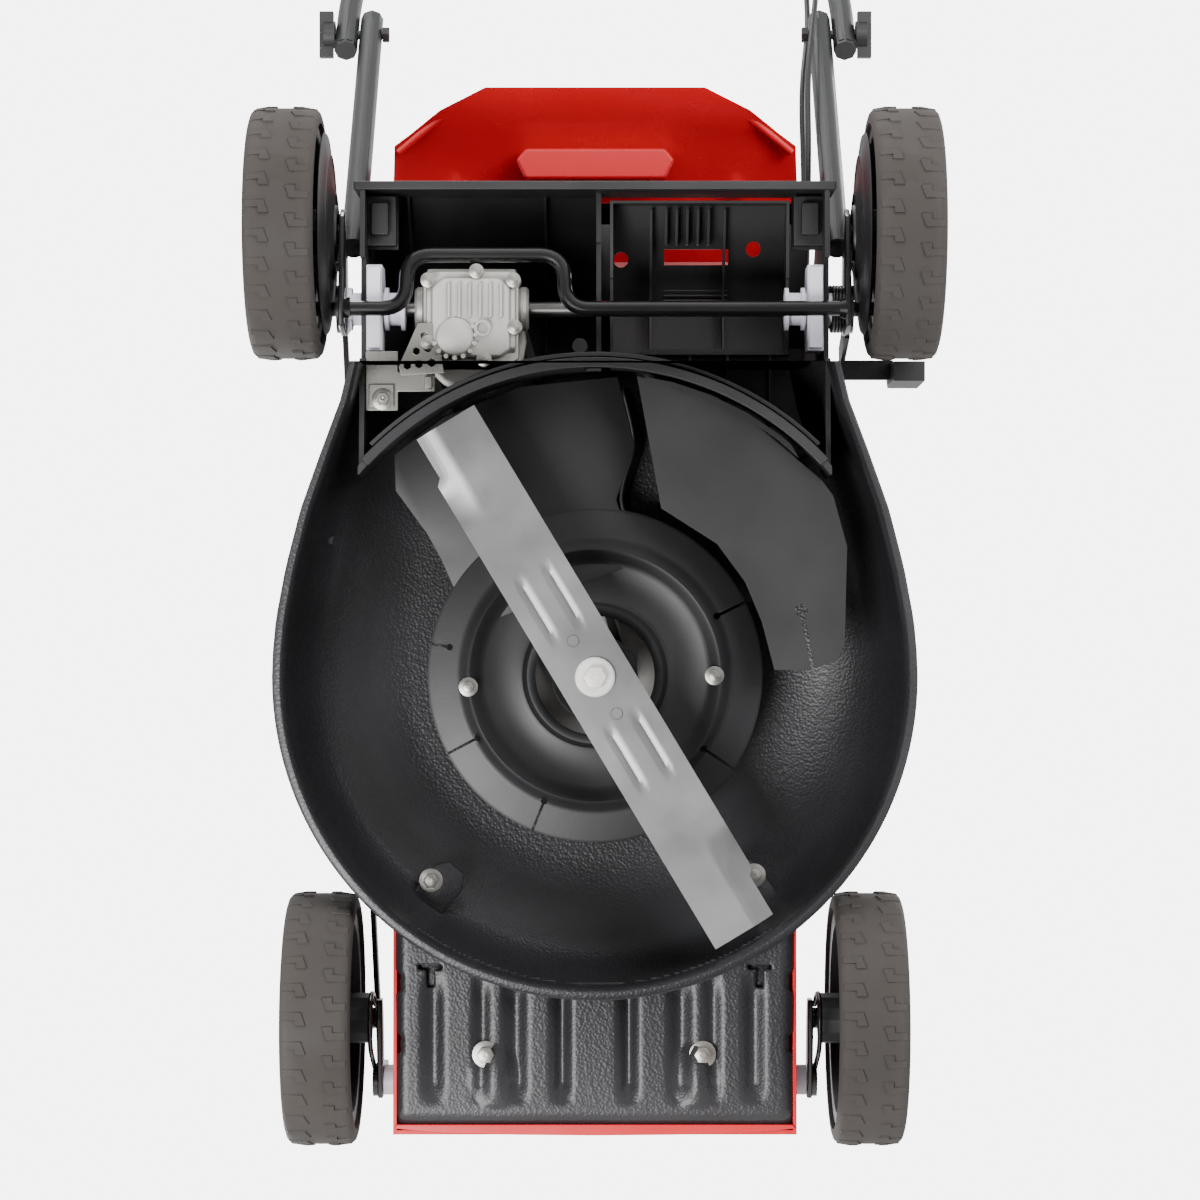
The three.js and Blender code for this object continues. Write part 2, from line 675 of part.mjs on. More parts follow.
function cylinder() {
  const core = block([-38, 38], [-158, -90.3], [184, 230]);
  const fins = [0, 1, 2, 3, 4, 5].map((i) =>
    block([-52, 52], [-98 - 11 * i, -94 - 11 * i], [178, 236]),
  );
  return join(core, ...fins);
}
put("cylinder", cylinder(), ALLOY);
put(
  "rocker_cover",
  prism([[-40, 184], [40, 184], [44, 190], [44, 226], [36, 234], [-36, 234], [-44, 226],
    [-44, 190]], -184, -158.3, "y"),
  BLACK,
);
put(
  "spark_plug_boot",
  join(rod(6, -204, -184.3, "y", [20, 0, 209], 12)),
  BLACK,
);

function flywheel() {
  const disc = ring(13, 76, 240, 250, "z", [0, 0, 0], 24);
  const vanes = Array.from({ length: 5 }, (_, i) =>
    block([40, 74], [-1.5, 1.5], [249, 272]).rotate([0, 0, 72 * i]),
  );
  return join(disc, ring(13, 42, 249, 262), ...vanes);
}
put("flywheel", flywheel(), ALLOY);

function blowerHousing() {
  const shape = (wall, low) =>
    join(
      turned([[0, low], [108 - wall, low], [112 - wall, 250], [110 - wall, 296 - wall],
        [96 - wall, 312 - wall], [0, 316 - wall]], "z", [0, 0, 0], 24),
      prism([[-168 + wall, low], [-168 + wall, 282 - wall], [-150 + wall, 296 - wall],
        [-40, 306 - wall], [-40, low]], -58 + wall, 58 - wall, "x"),
    );
  return less(shape(0, 238), shape(3, 230), rod(60, 290, 330, "z", [0, 0, 0], 20));
}
put("blower_housing", blowerHousing(), BLACK);

function recoilStarter() {
  return turned([[0, 320], [62, 320], [70, 317], [74, 317], [72, 330], [58, 344],
    [30, 350], [0, 351]], "z", [0, 0, 0], 24);
}
put("recoil_starter", recoilStarter(), BLACK);
put(
  "starter_grip",
  join(block([-86, -30], [74, 90], [334, 350]), rod(8, 316.8, 336, "z", [-58, 82, 0], 12)),
  BLACK,
);

function fuelTank() {
  const body = prism([[-84, 120], [84, 120], [92, 132], [92, 172], [80, 186], [-80, 186],
    [-92, 172], [-92, 132]], 206, 288);
  return join(body, rod(22, 286, 300, "z", [48, 152, 0], 24));
}
put("fuel_tank", fuelTank(), BLACK);
put("fuel_cap", turned([[0, 300.3], [28, 300.3], [28, 316], [24, 320], [0, 320]], "z",
  [48, 152, 0], 24), BLACK);
put("oil_cap", join(rod(15, 222.3, 232, "z", [74, -74, 0], 16),
  block([69, 79], [-86, -62], [231, 236.5])), BLACK);
put(
  "air_filter_cover",
  prism([[114, -78], [158, -78], [166, -68], [166, 2], [158, 12], [114, 12]], 198, 282),
  BLACK,
);
function muffler() {
  const can = prism([[-112, -108], [-150, -108], [-160, -98], [-160, -30], [-150, -20],
    [-112, -20]], 176, 232);
  return join(can, block([-113, -53], [-112, -100], [196, 216]));
}
put("muffler", muffler(), ZINC);

// ---------------------------------------------------------------- rear flap and handle
function rearFlap() {
  const outline = [[-160, 318], [160, 318], [171, 380], [167, 438], [128, 464], [90, 480],
    [-90, 480], [-128, 464], [-167, 438], [-171, 380]];
  const shell = prism(
    [[HINGE.y + 14, 276], [345, 284], [400, 270], [450, 240], [484, 200], [484, 196],
      [480, 196], [447, 236], [398, 266], [345, 280], [HINGE.y + 14, 272]],
    -171,
    171,
    "x",
  ).intersect(prism([...outline].reverse(), 150, 320));
  const eyes = [-120, 0, 120].map((x) =>
    prism([[HINGE.y - 8, HINGE.z - 4], [HINGE.y, HINGE.z - 8], [HINGE.y + 20, HINGE.z + 1],
      [HINGE.y + 20, HINGE.z + 9], [HINGE.y, HINGE.z + 8], [HINGE.y - 8, HINGE.z + 4]],
    x - 14, x + 14, "x"),
  );
  return less(join(shell, ...eyes), rod(4.3, -180, 180, "x", [0, HINGE.y, HINGE.z], 12));
}
put("rear_flap", rearFlap(), RED);

// A point on the handle: how far along it from the fold, and how far off its plane.
const [RUN, RISE] = [Math.cos(rad(HANDLE.slope)), Math.sin(rad(HANDLE.slope))];
const FOLD = v3(
  0,
  HANDLE.foot[0] + HANDLE.lower * RUN,
  HANDLE.foot[1] + HANDLE.lower * RISE,
);
const onHandle = (x, along, off = 0) =>
  v3(x, FOLD.y + along * RUN - off * RISE, FOLD.z + along * RISE + off * RUN);
const LEG_X = TUBE.x + 2 * TUBE.radius + 0.7;
const boltHole = (r) => rod(r, 180, 262, "x", [0, FOLD.y, FOLD.z], 12);

function lowerHandle() {
  const tube = bar([onHandle(TUBE.x, -HANDLE.lower), onHandle(TUBE.x, 24)], TUBE.radius);
  const feet = [-286, -226].map((along) => {
    const at = onHandle(0, along);
    return rod(7, CHASSIS.half + GAP, TUBE.x - 4, "x", [0, at.y, at.z], 12);
  });
  return less(join(tube, feet[0]), boltHole(4.3));
}
putPair("lower_handle", lowerHandle(), BLACK);

function upperHandle() {
  const { upper, topX } = HANDLE;
  const half = [onHandle(LEG_X, -24), onHandle(LEG_X, 40), onHandle(topX + 12, 300),
    onHandle(topX, upper)];
  const other = half.map((p) => v3(-p.x, p.y, p.z)).reverse();
  const loop = bar([...half, ...other], TUBE.radius, { bend: 60, sides: 8, turns: 3 });
  const lug = (at, side) => {
    const p = onHandle(0, at, side * BAIL.offset);
    const q = onHandle(0, at);
    const legX = legAt(at);
    const plate = prism(
      [[q.y - 7, q.z - 7], [q.y + 7, q.z - 7], [p.y + 8, p.z - 6], [p.y + 8, p.z + 8],
        [p.y - 8, p.z + 8], [q.y - 7, q.z + 7]],
      legX - 9,
      legX - 4,
      "x",
    );
    return less(plate, rod(BAIL.radius + 0.4, 140, 220, "x", [0, p.y, p.z], 12));
  };
  const lugs = [lug(BAIL.brakeAt, 1), lug(BAIL.driveAt, -1)];
  return less(
    join(loop, ...lugs, ...lugs.map(mirrored)),
    boltHole(4.3),
    mirrored(boltHole(4.3)),
  );
}
// How far out the handle's leg stands at a distance along it.
function legAt(along) {
  const { upper, topX } = HANDLE;
  return topX + (12 * (upper - along)) / (upper - 300);
}
put("upper_handle", upperHandle(), BLACK);

// A wire bail: two ends turned out into the lugs, and a loop that stands off the handle.
function bail(at, side, reach) {
  const pivot = onHandle(0, at, side * BAIL.offset);
  const lean = rad(HANDLE.slope + side * BAIL.spread);
  const inner = legAt(at) - 19;
  const far = v3(0, pivot.y + reach * Math.cos(lean), pivot.z + reach * Math.sin(lean));
  const points = [
    v3(legAt(at) - 2.5, pivot.y, pivot.z), v3(inner, pivot.y, pivot.z), v3(inner, far.y, far.z),
    v3(-inner, far.y, far.z), v3(-inner, pivot.y, pivot.z), v3(-legAt(at) + 2.5, pivot.y, pivot.z),
  ];
  return bar(points, BAIL.radius, { bend: 14, sides: 6, turns: 2 });
}
put("brake_bail", bail(BAIL.brakeAt, 1, 222), BLACK);
put("drive_bail", bail(BAIL.driveAt, -1, 176), BLACK);

function handleKnob() {
  const at = [0, FOLD.y, FOLD.z];
  const bolt = rod(4, 183, 232, "x", at, 12);
  const head = rod(7, 180, 185.7, "x", at, 6);
  const boss = rod(12, LEG_X + TUBE.radius + GAP, LEG_X + 20, "x", at, 16);
  const wings = block([LEG_X + 12, LEG_X + 24], [FOLD.y - 20, FOLD.y + 20], [FOLD.z - 5, FOLD.z + 5]);
  return join(bolt, head, boss, wings);
}
putPair("handle_knob", handleKnob(), BLACK);

// Cables run from the bails down the right leg, past the fold, to the engine and the gearbox.
const cable = (points) => bar(points, CABLE_R, { bend: 40, sides: 6, turns: 2 });
const BRAKE_ROUTE = [
  onHandle(-legAt(BAIL.brakeAt) + 12, 640, 14), onHandle(-178, 600, 13),
  onHandle(-184, 320, 14), onHandle(-190, 60, 24), onHandle(-178, -60, 20),
  v3(-178, 420, 310), v3(-176, 330, 320), v3(-140, 235, 300), v3(-90, 150, 318),
  v3(-104, 128, 262), v3(-100, 96, 226),
];
const DRIVE_ROUTE = [
  onHandle(-legAt(BAIL.driveAt) + 12, 676, -14), onHandle(-178, 620, -13),
  onHandle(-186, 320, -14), onHandle(-196, 60, -18), onHandle(-181, -80, -14),
  v3(-179, 430, 262), v3(-178, 300, 290), v3(-120, 276, 292), v3(80, 276, 292),
  v3(130, 290, 270), v3(134, 292, 200), v3(137, 304, 125.5),
];
put("brake_cable", cable(BRAKE_ROUTE), BLACK);
put("drive_cable", cable(DRIVE_ROUTE), BLACK);

// ---------------------------------------------------------------- origin
// The whole mower is moved so that the middle of its box stands on the origin.
const box = new THREE.Box3().setFromObject(mower);
mower.position.y = -(box.min.y + box.max.y) / 2;

export default mower;
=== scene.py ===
import math

import bmesh
import bpy
from mathutils import Matrix, Vector


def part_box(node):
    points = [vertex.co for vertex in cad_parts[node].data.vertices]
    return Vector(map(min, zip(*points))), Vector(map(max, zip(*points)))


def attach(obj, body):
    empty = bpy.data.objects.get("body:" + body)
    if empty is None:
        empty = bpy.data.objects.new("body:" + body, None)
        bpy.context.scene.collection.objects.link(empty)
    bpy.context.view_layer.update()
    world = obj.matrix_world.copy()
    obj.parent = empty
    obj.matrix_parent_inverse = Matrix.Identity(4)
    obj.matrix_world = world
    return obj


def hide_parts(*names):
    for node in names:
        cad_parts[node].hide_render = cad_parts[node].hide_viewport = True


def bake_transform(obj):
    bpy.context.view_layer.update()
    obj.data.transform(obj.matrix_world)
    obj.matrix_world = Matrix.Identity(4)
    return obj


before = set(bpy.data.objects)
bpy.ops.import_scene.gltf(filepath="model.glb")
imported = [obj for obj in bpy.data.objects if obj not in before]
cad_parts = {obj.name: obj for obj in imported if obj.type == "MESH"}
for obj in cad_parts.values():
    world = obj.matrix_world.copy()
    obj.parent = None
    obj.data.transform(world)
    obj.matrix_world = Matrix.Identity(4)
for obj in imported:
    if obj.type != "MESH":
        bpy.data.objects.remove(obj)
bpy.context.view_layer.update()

# ------------------------------------------------------------------ camera, lights, floor
# Sizes in this script are in millimetres from the blade's axis and from the ground. The blade
# turns on the crankshaft, so the crankshaft's own box says where that axis is in the frame.
MM = 0.001
SHAFT_LOW, SHAFT_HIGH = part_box("crankshaft")
AXIS_Y = (SHAFT_LOW.y + SHAFT_HIGH.y) / 2


def at(x, y, z):
    """A place given from the blade's axis, in metres in the frame."""
    return Vector((x * MM, y * MM + AXIS_Y, z * MM))


camera = bpy.data.objects.new("camera", bpy.data.cameras.new("camera"))
bpy.context.scene.collection.objects.link(camera)
camera.data.lens = 102.4
camera.data.sensor_width = 36.0
camera.location = at(-4, 60, -2600)
camera.rotation_euler = (0.0, math.pi, 0.0)
camera.data.clip_end = 50.0
bpy.context.scene.camera = camera


def hex_colour(code):
    """An sRGB hex value as a linear colour."""
    parts = [int(code[i : i + 2], 16) / 255 for i in (0, 2, 4)]
    line = [c / 12.92 if c <= 0.04045 else ((c + 0.055) / 1.055) ** 2.4 for c in parts]
    return (*line, 1.0)


def node(tree, kind, inputs=None, **settings):
    """Adds a shader node with its settings, its values and its links."""
    made = tree.nodes.new("ShaderNode" + kind)
    for key, value in settings.items():
        setattr(made, key, value)
    for key, value in (inputs or {}).items():
        if isinstance(value, bpy.types.NodeSocket):
            tree.links.new(value, made.inputs[key])
        else:
            made.inputs[key].default_value = value
    return made


def soft_lamp(name, place, aim, size, power):
    lamp = bpy.data.objects.new(name, bpy.data.lights.new(name, "AREA"))
    bpy.context.scene.collection.objects.link(lamp)
    lamp.data.shape = "DISK"
    lamp.data.size = size
    lamp.data.energy = power
    lamp.location = place
    lamp.rotation_euler = (aim - place).to_track_quat("-Z", "Y").to_euler()


MIDDLE = at(0, 60, 120)
for lamp_name, lamp_at, lamp_size, lamp_power in (
    ("under_key", Vector((0.9, -1.2, -1.7)), 1.2, 80),
    ("under_fill", Vector((-1.3, 0.7, -1.5)), 1.4, 52),
    ("under_rear", Vector((0.1, 1.5, -0.9)), 1.0, 34),
    ("top_key", Vector((1.6, -1.8, 2.6)), 1.6, 70),
    ("top_fill", Vector((-2.2, 0.6, 1.9)), 2.0, 42),
    ("top_back", Vector((0.6, 2.6, 2.2)), 1.6, 40),
):
    soft_lamp(lamp_name, lamp_at, MIDDLE, lamp_size, lamp_power)

world = bpy.data.worlds.new("studio")
bpy.context.scene.world = world
world.use_nodes = True
sky = world.node_tree
sky.nodes["Background"].inputs["Color"].default_value = (1.0, 1.0, 1.0, 1.0)
sky.nodes["Background"].inputs["Strength"].default_value = 1.0
# What is seen past the mower is a white backdrop, brighter than the light that it gives.
backdrop = node(sky, "Background", {"Color": (1.0, 1.0, 1.0, 1.0), "Strength": 6.0})
sky_rays = node(sky, "LightPath")
sky_mix = node(
    sky,
    "MixShader",
    {
        0: sky_rays.outputs["Is Camera Ray"],
        1: sky.nodes["Background"].outputs[0],
        2: backdrop.outputs[0],
    },
)
sky.links.new(sky_mix.outputs[0], sky.nodes["World Output"].inputs["Surface"])

# The floor is a pale sheet that is only seen from above: its back lets light and sight through,
# as the mower is looked at from below as well.
floor_mesh = bpy.data.meshes.new("floor")
shape = bmesh.new()
bmesh.ops.create_grid(shape, x_segments=1, y_segments=1, size=40.0)
shape.to_mesh(floor_mesh)
shape.free()
floor = bpy.data.objects.new("floor", floor_mesh)
bpy.context.scene.collection.objects.link(floor)
floor.location.z = -0.0005
pale = bpy.data.materials.new("pale_floor")
pale.use_nodes = True
pale.node_tree.nodes.clear()
sheet_side = node(pale.node_tree, "NewGeometry")
sheet_rays = node(pale.node_tree, "LightPath")
seen_through = node(
    pale.node_tree,
    "Math",
    {0: sheet_side.outputs["Backfacing"], 1: sheet_rays.outputs["Is Shadow Ray"]},
    operation="MAXIMUM",
)
sheet_face = node(pale.node_tree, "BsdfDiffuse", {"Color": hex_colour("E9E9E8")})
sheet_clear = node(pale.node_tree, "BsdfTransparent")
sheet_mix = node(
    pale.node_tree,
    "MixShader",
    {0: seen_through.outputs[0], 1: sheet_face.outputs[0], 2: sheet_clear.outputs[0]},
)
node(pale.node_tree, "OutputMaterial", {"Surface": sheet_mix.outputs[0]})
floor.data.materials.append(pale)


# ------------------------------------------------------------------ control cables
# Two steel cables in black PVC sheaths, clipped down the right leg of the handle: one stops the
# engine, the other engages the drive. Both bend at the fold of the handle.
def polished(name, colour, rough, coat=0.0, metal=0.0, grain=0.0, depth=0.0, wear="", patchy=0.25):
    """A finish: base colour clouded a little, roughness that varies with it, a grain of a size
    in millimetres, and a second colour where handling or dust shows."""
    material = bpy.data.materials.new(name)
    material.use_nodes = True
    tree = material.node_tree
    skin = tree.nodes["Principled BSDF"]
    place = node(tree, "TexCoord")
    cloud = node(
        tree, "TexNoise", {"Vector": place.outputs["Object"], "Scale": 14.0, "Detail": 5.0}
    )
    base = hex_colour(colour)
    deep = (*[c * (1 - patchy) for c in base[:3]], 1.0)
    tone = node(
        tree,
        "MixRGB",
        {"Fac": cloud.outputs["Fac"], "Color1": deep, "Color2": base},
    )
    if wear:
        speck = node(
            tree, "TexNoise", {"Vector": place.outputs["Object"], "Scale": 90.0, "Detail": 8.0}
        )
        sieve = node(
            tree,
            "MapRange",
            {"Value": speck.outputs["Fac"], "From Min": 0.58, "From Max": 0.72, "To Max": 0.5},
        )
        tone = node(
            tree,
            "MixRGB",
            {
                "Fac": sieve.outputs[0],
                "Color1": tone.outputs[0],
                "Color2": hex_colour(wear),
            },
        )
    tree.links.new(tone.outputs[0], skin.inputs["Base Color"])
    spread = node(
        tree,
        "MapRange",
        {
            "Value": cloud.outputs["Fac"],
            "From Min": 0.3,
            "From Max": 0.7,
            "To Min": rough * 0.85,
            "To Max": min(rough * 1.15, 1.0),
        },
    )
    tree.links.new(spread.outputs[0], skin.inputs["Roughness"])
    skin.inputs["Metallic"].default_value = metal
    skin.inputs["Coat Weight"].default_value = coat
    if grain:
        pits = node(
            tree,
            "TexNoise",
            {"Vector": place.outputs["Object"], "Scale": 1000.0 / grain, "Detail": 2.0},
        )
        bump = node(
            tree,
            "Bump",
            {"Height": pits.outputs["Fac"], "Distance": depth * MM, "Strength": 1.0},
        )
        tree.links.new(bump.outputs[0], skin.inputs["Normal"])
    return material


def shown(name, mesh, material, body, stands_for=()):
    """Puts a finished mesh in the scene, on its body, in place of the CAD nodes it stands for.
    A piece with no body is left unparented."""
    piece = bpy.data.objects.new(name, mesh)
    bpy.context.scene.collection.objects.link(piece)
    mesh.materials.clear()
    mesh.materials.append(material)
    for face in mesh.polygons:
        face.use_smooth = True
    mesh.set_sharp_from_angle(angle=math.radians(38))
    if body:
        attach(piece, body)
    if stands_for:
        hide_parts(*stands_for)
    return piece


def bent_tube(name, points, radius, bend, sides=5):
    """A round bar or tube through points, with a bend of a given radius at each corner."""
    curve = bpy.data.curves.new(name, "CURVE")
    curve.dimensions = "3D"
    curve.bevel_depth = radius * MM
    curve.bevel_resolution = sides
    curve.use_fill_caps = True
    line = [points[0]]
    for before, corner, after in zip(points, points[1:], points[2:]):
        back, on = before - corner, after - corner
        cut = min(bend * MM, 0.48 * back.length, 0.48 * on.length)
        start, end = corner + back.normalized() * cut, corner + on.normalized() * cut
        for step in range(9):
            t = step / 8
            line.append(start.lerp(corner, t).lerp(corner.lerp(end, t), t))
    line.append(points[-1])
    spline = curve.splines.new("POLY")
    spline.points.add(len(line) - 1)
    for point, place in zip(spline.points, line):
        point.co = (*place, 1.0)
    holder = bpy.data.objects.new(name + "_line", curve)
    bpy.context.scene.collection.objects.link(holder)
    bpy.context.view_layer.update()
    mesh = bpy.data.meshes.new_from_object(
        holder.evaluated_get(bpy.context.evaluated_depsgraph_get())
    )
    bpy.data.objects.remove(holder)
    return mesh


SLOPE = math.radians(46)
FOLD_Y = 345 + 300 * math.cos(SLOPE)
FOLD_Z = 165 + 300 * math.sin(SLOPE)


def on_handle(x, along, off=0.0):
    """A place on the handle: how far up it from the fold, and how far off its plane."""
    return at(
        x,
        FOLD_Y + along * math.cos(SLOPE) - off * math.sin(SLOPE),
        FOLD_Z + along * math.sin(SLOPE) + off * math.cos(SLOPE),
    )


def leg_at(along):
    """How far out the handle's leg stands, a distance up it."""
    return 183 + 12 * (880 - along) / 580


sheath = polished("pvc_cable_sheath", "17171A", 0.42, grain=1.5, depth=0.05)
BRAKE_ROUTE = [
    on_handle(-leg_at(655) + 12, 640, 14), on_handle(-178, 600, 13), on_handle(-184, 320, 14),
    on_handle(-190, 60, 24), on_handle(-178, -60, 20), at(-178, 420, 310), at(-179, 330, 321),
    at(-177, 296, 318), at(-140, 235, 300), at(-90, 150, 318), at(-104, 128, 262), at(-100, 96, 226),
]
DRIVE_ROUTE = [
    on_handle(-leg_at(690) + 12, 676, -14), on_handle(-178, 620, -13), on_handle(-186, 320, -14),
    on_handle(-196, 60, -18), on_handle(-181, -80, -14), at(-179, 430, 262), at(-178, 300, 290),
    at(-120, 276, 292), at(80, 276, 292), at(130, 290, 270), at(134, 292, 200),
    at(137, 304, 125.5),
]
# Beside the rear flap the brake cable swings out further than the part's own route, so that the
# open flap clears it.
for cable_name, route in (("brake_cable", BRAKE_ROUTE), ("drive_cable", DRIVE_ROUTE)):
    mesh = bent_tube(cable_name + "_sheath", route, 2.5, 40, sides=3)
    cable = shown(cable_name + "_sheath", mesh, sheath, None, (cable_name,))
    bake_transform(cable)


# ------------------------------------------------------------------ deck
# One deep drawn steel bowl with a corrugated front apron, 2 mm sheet with a rolled rim. It is
# powder coated black with a hammered texture, which gives a fine sparkle under soft light.
def as_mesh(name, shape):
    """A bmesh in millimetres from the blade's axis becomes a mesh in the frame."""
    bmesh.ops.remove_doubles(shape, verts=shape.verts, dist=0.01)
    bmesh.ops.recalc_face_normals(shape, faces=shape.faces)
    for vert in shape.verts:
        vert.co = at(*vert.co)
    mesh = bpy.data.meshes.new(name)
    shape.to_mesh(mesh)
    shape.free()
    return mesh


def spun(profile, axis=(0, 0, 1), centre=(0, 0, 0), steps=96):
    """A closed profile of (radius, height) turned about an axis through a centre."""
    shape = bmesh.new()
    verts = [shape.verts.new((max(r, 0.0), 0.0, h)) for r, h in profile]
    edges = [shape.edges.new(pair) for pair in zip(verts, verts[1:] + verts[:1])]
    bmesh.ops.spin(
        shape,
        geom=verts + edges,
        cent=(0, 0, 0),
        axis=(0, 0, 1),
        angle=2 * math.pi,
        steps=steps,
        use_merge=True,
    )
    bmesh.ops.remove_doubles(shape, verts=shape.verts, dist=0.001)
    bmesh.ops.dissolve_degenerate(shape, edges=shape.edges, dist=0.0005)
    turn = Vector((0, 0, 1)).rotation_difference(Vector(axis)).to_matrix().to_4x4()
    bmesh.ops.transform(shape, matrix=Matrix.Translation(centre) @ turn, verts=shape.verts)
    bmesh.ops.recalc_face_normals(shape, faces=shape.faces)
    return shape


def slab(outline, low, high, edge=0.0, axis="z"):
    """A flat plate: an outline pulled from one level to another, with its edges eased. Along z
    its points are (x, y), along x they are (y, z)."""
    shape = bmesh.new()
    if axis == "z":
        verts = [shape.verts.new((x, y, low)) for x, y in outline]
        pull = (0, 0, high - low)
    else:
        verts = [shape.verts.new((low, y, z)) for y, z in outline]
        pull = (high - low, 0, 0)
    face = shape.faces.new(verts)
    grown = bmesh.ops.extrude_face_region(shape, geom=[face], use_keep_orig=True)
    top = [g for g in grown["geom"] if isinstance(g, bmesh.types.BMVert)]
    bmesh.ops.translate(shape, vec=pull, verts=top)
    bmesh.ops.recalc_face_normals(shape, faces=shape.faces)
    if edge:
        ease(shape, edge)
    return shape


def ease(shape, width, corner=30):
    """Rounds every edge that is sharper than a corner angle."""
    sharp = [
        e
        for e in shape.edges
        if len(e.link_faces) == 2 and e.calc_face_angle(0.0) > math.radians(corner)
    ]
    bmesh.ops.bevel(
        shape,
        geom=sharp,
        offset=width,
        offset_type="OFFSET",
        affect="EDGES",
        segments=2,
        profile=0.5,
        material=-1,
        clamp_overlap=True,
    )


def together(*shapes):
    """Several shapes of one piece as one."""
    whole = bmesh.new()
    for part in shapes:
        held = bpy.data.meshes.new("part")
        part.to_mesh(held)
        part.free()
        whole.from_mesh(held)
        bpy.data.meshes.remove(held)
    return whole


def cut_away(name, mesh, *cutters):
    """Takes cutter shapes out of a closed mesh."""
    body = bpy.data.objects.new(name + "_body", mesh)
    bpy.context.scene.collection.objects.link(body)
    tools = []
    for number, cutter in enumerate(cutters):
        tool = bpy.data.objects.new(f"{name}_cut{number}", as_mesh("cut", cutter))
        bpy.context.scene.collection.objects.link(tool)
        cut = body.modifiers.new(tool.name, "BOOLEAN")
        cut.object = tool
        cut.operation = "DIFFERENCE"
        cut.solver = "EXACT"
        tools.append(tool)
    bpy.context.view_layer.update()
    result = bpy.data.meshes.new_from_object(
        body.evaluated_get(bpy.context.evaluated_depsgraph_get())
    )
    for extra in [body, *tools]:
        bpy.data.objects.remove(extra)
    return result


hammered = bpy.data.materials.new("hammered_powder_coat")
hammered.use_nodes = True
coat_tree = hammered.node_tree
coat_skin = coat_tree.nodes["Principled BSDF"]
coat_place = node(coat_tree, "TexCoord")
# The coat's bumps are about 1.2 mm apart; they are drawn at 2.2 mm so that they show.
coat_cells = node(
    coat_tree,
    "TexVoronoi",
    {"Vector": coat_place.outputs["Object"], "Scale": 1000 / 2.2, "Smoothness": 0.6},
    feature="SMOOTH_F1",
)
coat_bump = node(
    coat_tree,
    "Bump",
    {"Height": coat_cells.outputs["Distance"], "Distance": 0.0005, "Strength": 0.55},
)
coat_tree.links.new(coat_bump.outputs[0], coat_skin.inputs["Normal"])
coat_cloud = node(coat_tree, "TexNoise", {"Vector": coat_place.outputs["Object"], "Scale": 9.0})
coat_tone = node(
    coat_tree,
    "MixRGB",
    {
        "Fac": coat_cloud.outputs["Fac"],
        "Color1": hex_colour("1A1A1B"),
        "Color2": hex_colour("343437"),
    },
)
coat_tree.links.new(coat_tone.outputs[0], coat_skin.inputs["Base Color"])
coat_skin.inputs["Metallic"].default_value = 0.35
coat_skin.inputs["Roughness"].default_value = 0.33
coat_skin.inputs["Coat Weight"].default_value = 0.3
coat_skin.inputs["Coat Roughness"].default_value = 0.25

DECK_R, RIM, DECK_TOP, DECK_REAR = 250, 40, 164, 245
SIDE = [(0, 250), (20, 249.3), (45, 247), (85, 239.5), (130, 228), (175, 212), (215, 197),
        (DECK_REAR, 190)]


def side_half(y):
    """The deck's half-width at its rim, a distance behind the blade's axis."""
    for (y0, x0), (y1, x1) in zip(SIDE, SIDE[1:]):
        if y <= y1:
            t = (y - y0) / (y1 - y0)
            return x0 + (x1 - x0) * t
    return SIDE[-1][1]


def bowl():
    """The deck's bowl, round in front and drawn in towards the rear chassis."""
    r = DECK_R
    outer = [
        (0, DECK_TOP), (r - 100, DECK_TOP), (r - 86, DECK_TOP - 1), (r - 72, DECK_TOP - 4),
        (r - 56, DECK_TOP - 9), (r - 42, 149), (r - 30, 141), (r - 20, 131), (r - 13, 117),
        (r - 9, 100), (r - 7.5, 70), (r - 7, 54), (r - 5, 48), (r - 2, 47), (r, 44.5),
        (r, 41.5), (r - 2, RIM), (r - 6, RIM), (r - 9, 43), (r - 10, 50),
    ]
    inner = [
        (r - 10.5, 70), (r - 12, 100), (r - 16, 116), (r - 23, 128.5), (r - 33, 138.5),
        (r - 45, 146.5), (r - 58, 152.5), (r - 74, 157.2), (r - 88, 159.6), (r - 102, 161),
        (60, 161), (60, 158), (0, 158),
    ]
    shape = spun(outer + inner, steps=144)
    for vert in shape.verts:
        x, y = vert.co.xy
        r_here = math.hypot(x, y)
        if y < 1e-6 or r_here < 1e-6:
            continue
        turn = math.atan2(y, abs(x)) / math.radians(60)
        along = min(turn, 1.0)
        half = side_half(DECK_REAR * along) * r_here / DECK_R
        inward = 1 - (turn - 1) / 0.5 if turn > 1 else 1
        vert.co.x = math.copysign(half * max(inward, 0.0), x)
        vert.co.y = DECK_REAR * along
    return shape


def arc(radius, first, last, steps, centre=(0, 0)):
    """Points round a stretch of a circle, angles in degrees."""
    turns = [math.radians(first + (last - first) * i / steps) for i in range(steps + 1)]
    return [(centre[0] + radius * math.cos(a), centre[1] + radius * math.sin(a)) for a in turns]


BEHIND_R, EAR = 252, 192
EAR_TURN = math.degrees(math.acos(EAR / BEHIND_R))
behind = slab(
    arc(BEHIND_R, EAR_TURN, 180 - EAR_TURN, 60) + [(-EAR, 300), (EAR, 300)], 20, 200
)
crank_hole = spun([(0, 150), (60, 150), (60, 180), (0, 180)])
wall_slot = slab([(176, 104.5), (230, 104.5), (230, 110.5), (176, 110.5)], 127, 131)
bowl_mesh = cut_away("deck_bowl", as_mesh("deck_bowl", bowl()), behind, crank_hole, wall_slot)
shown("deck_bowl", bowl_mesh, hammered, "chassis", ("deck",))

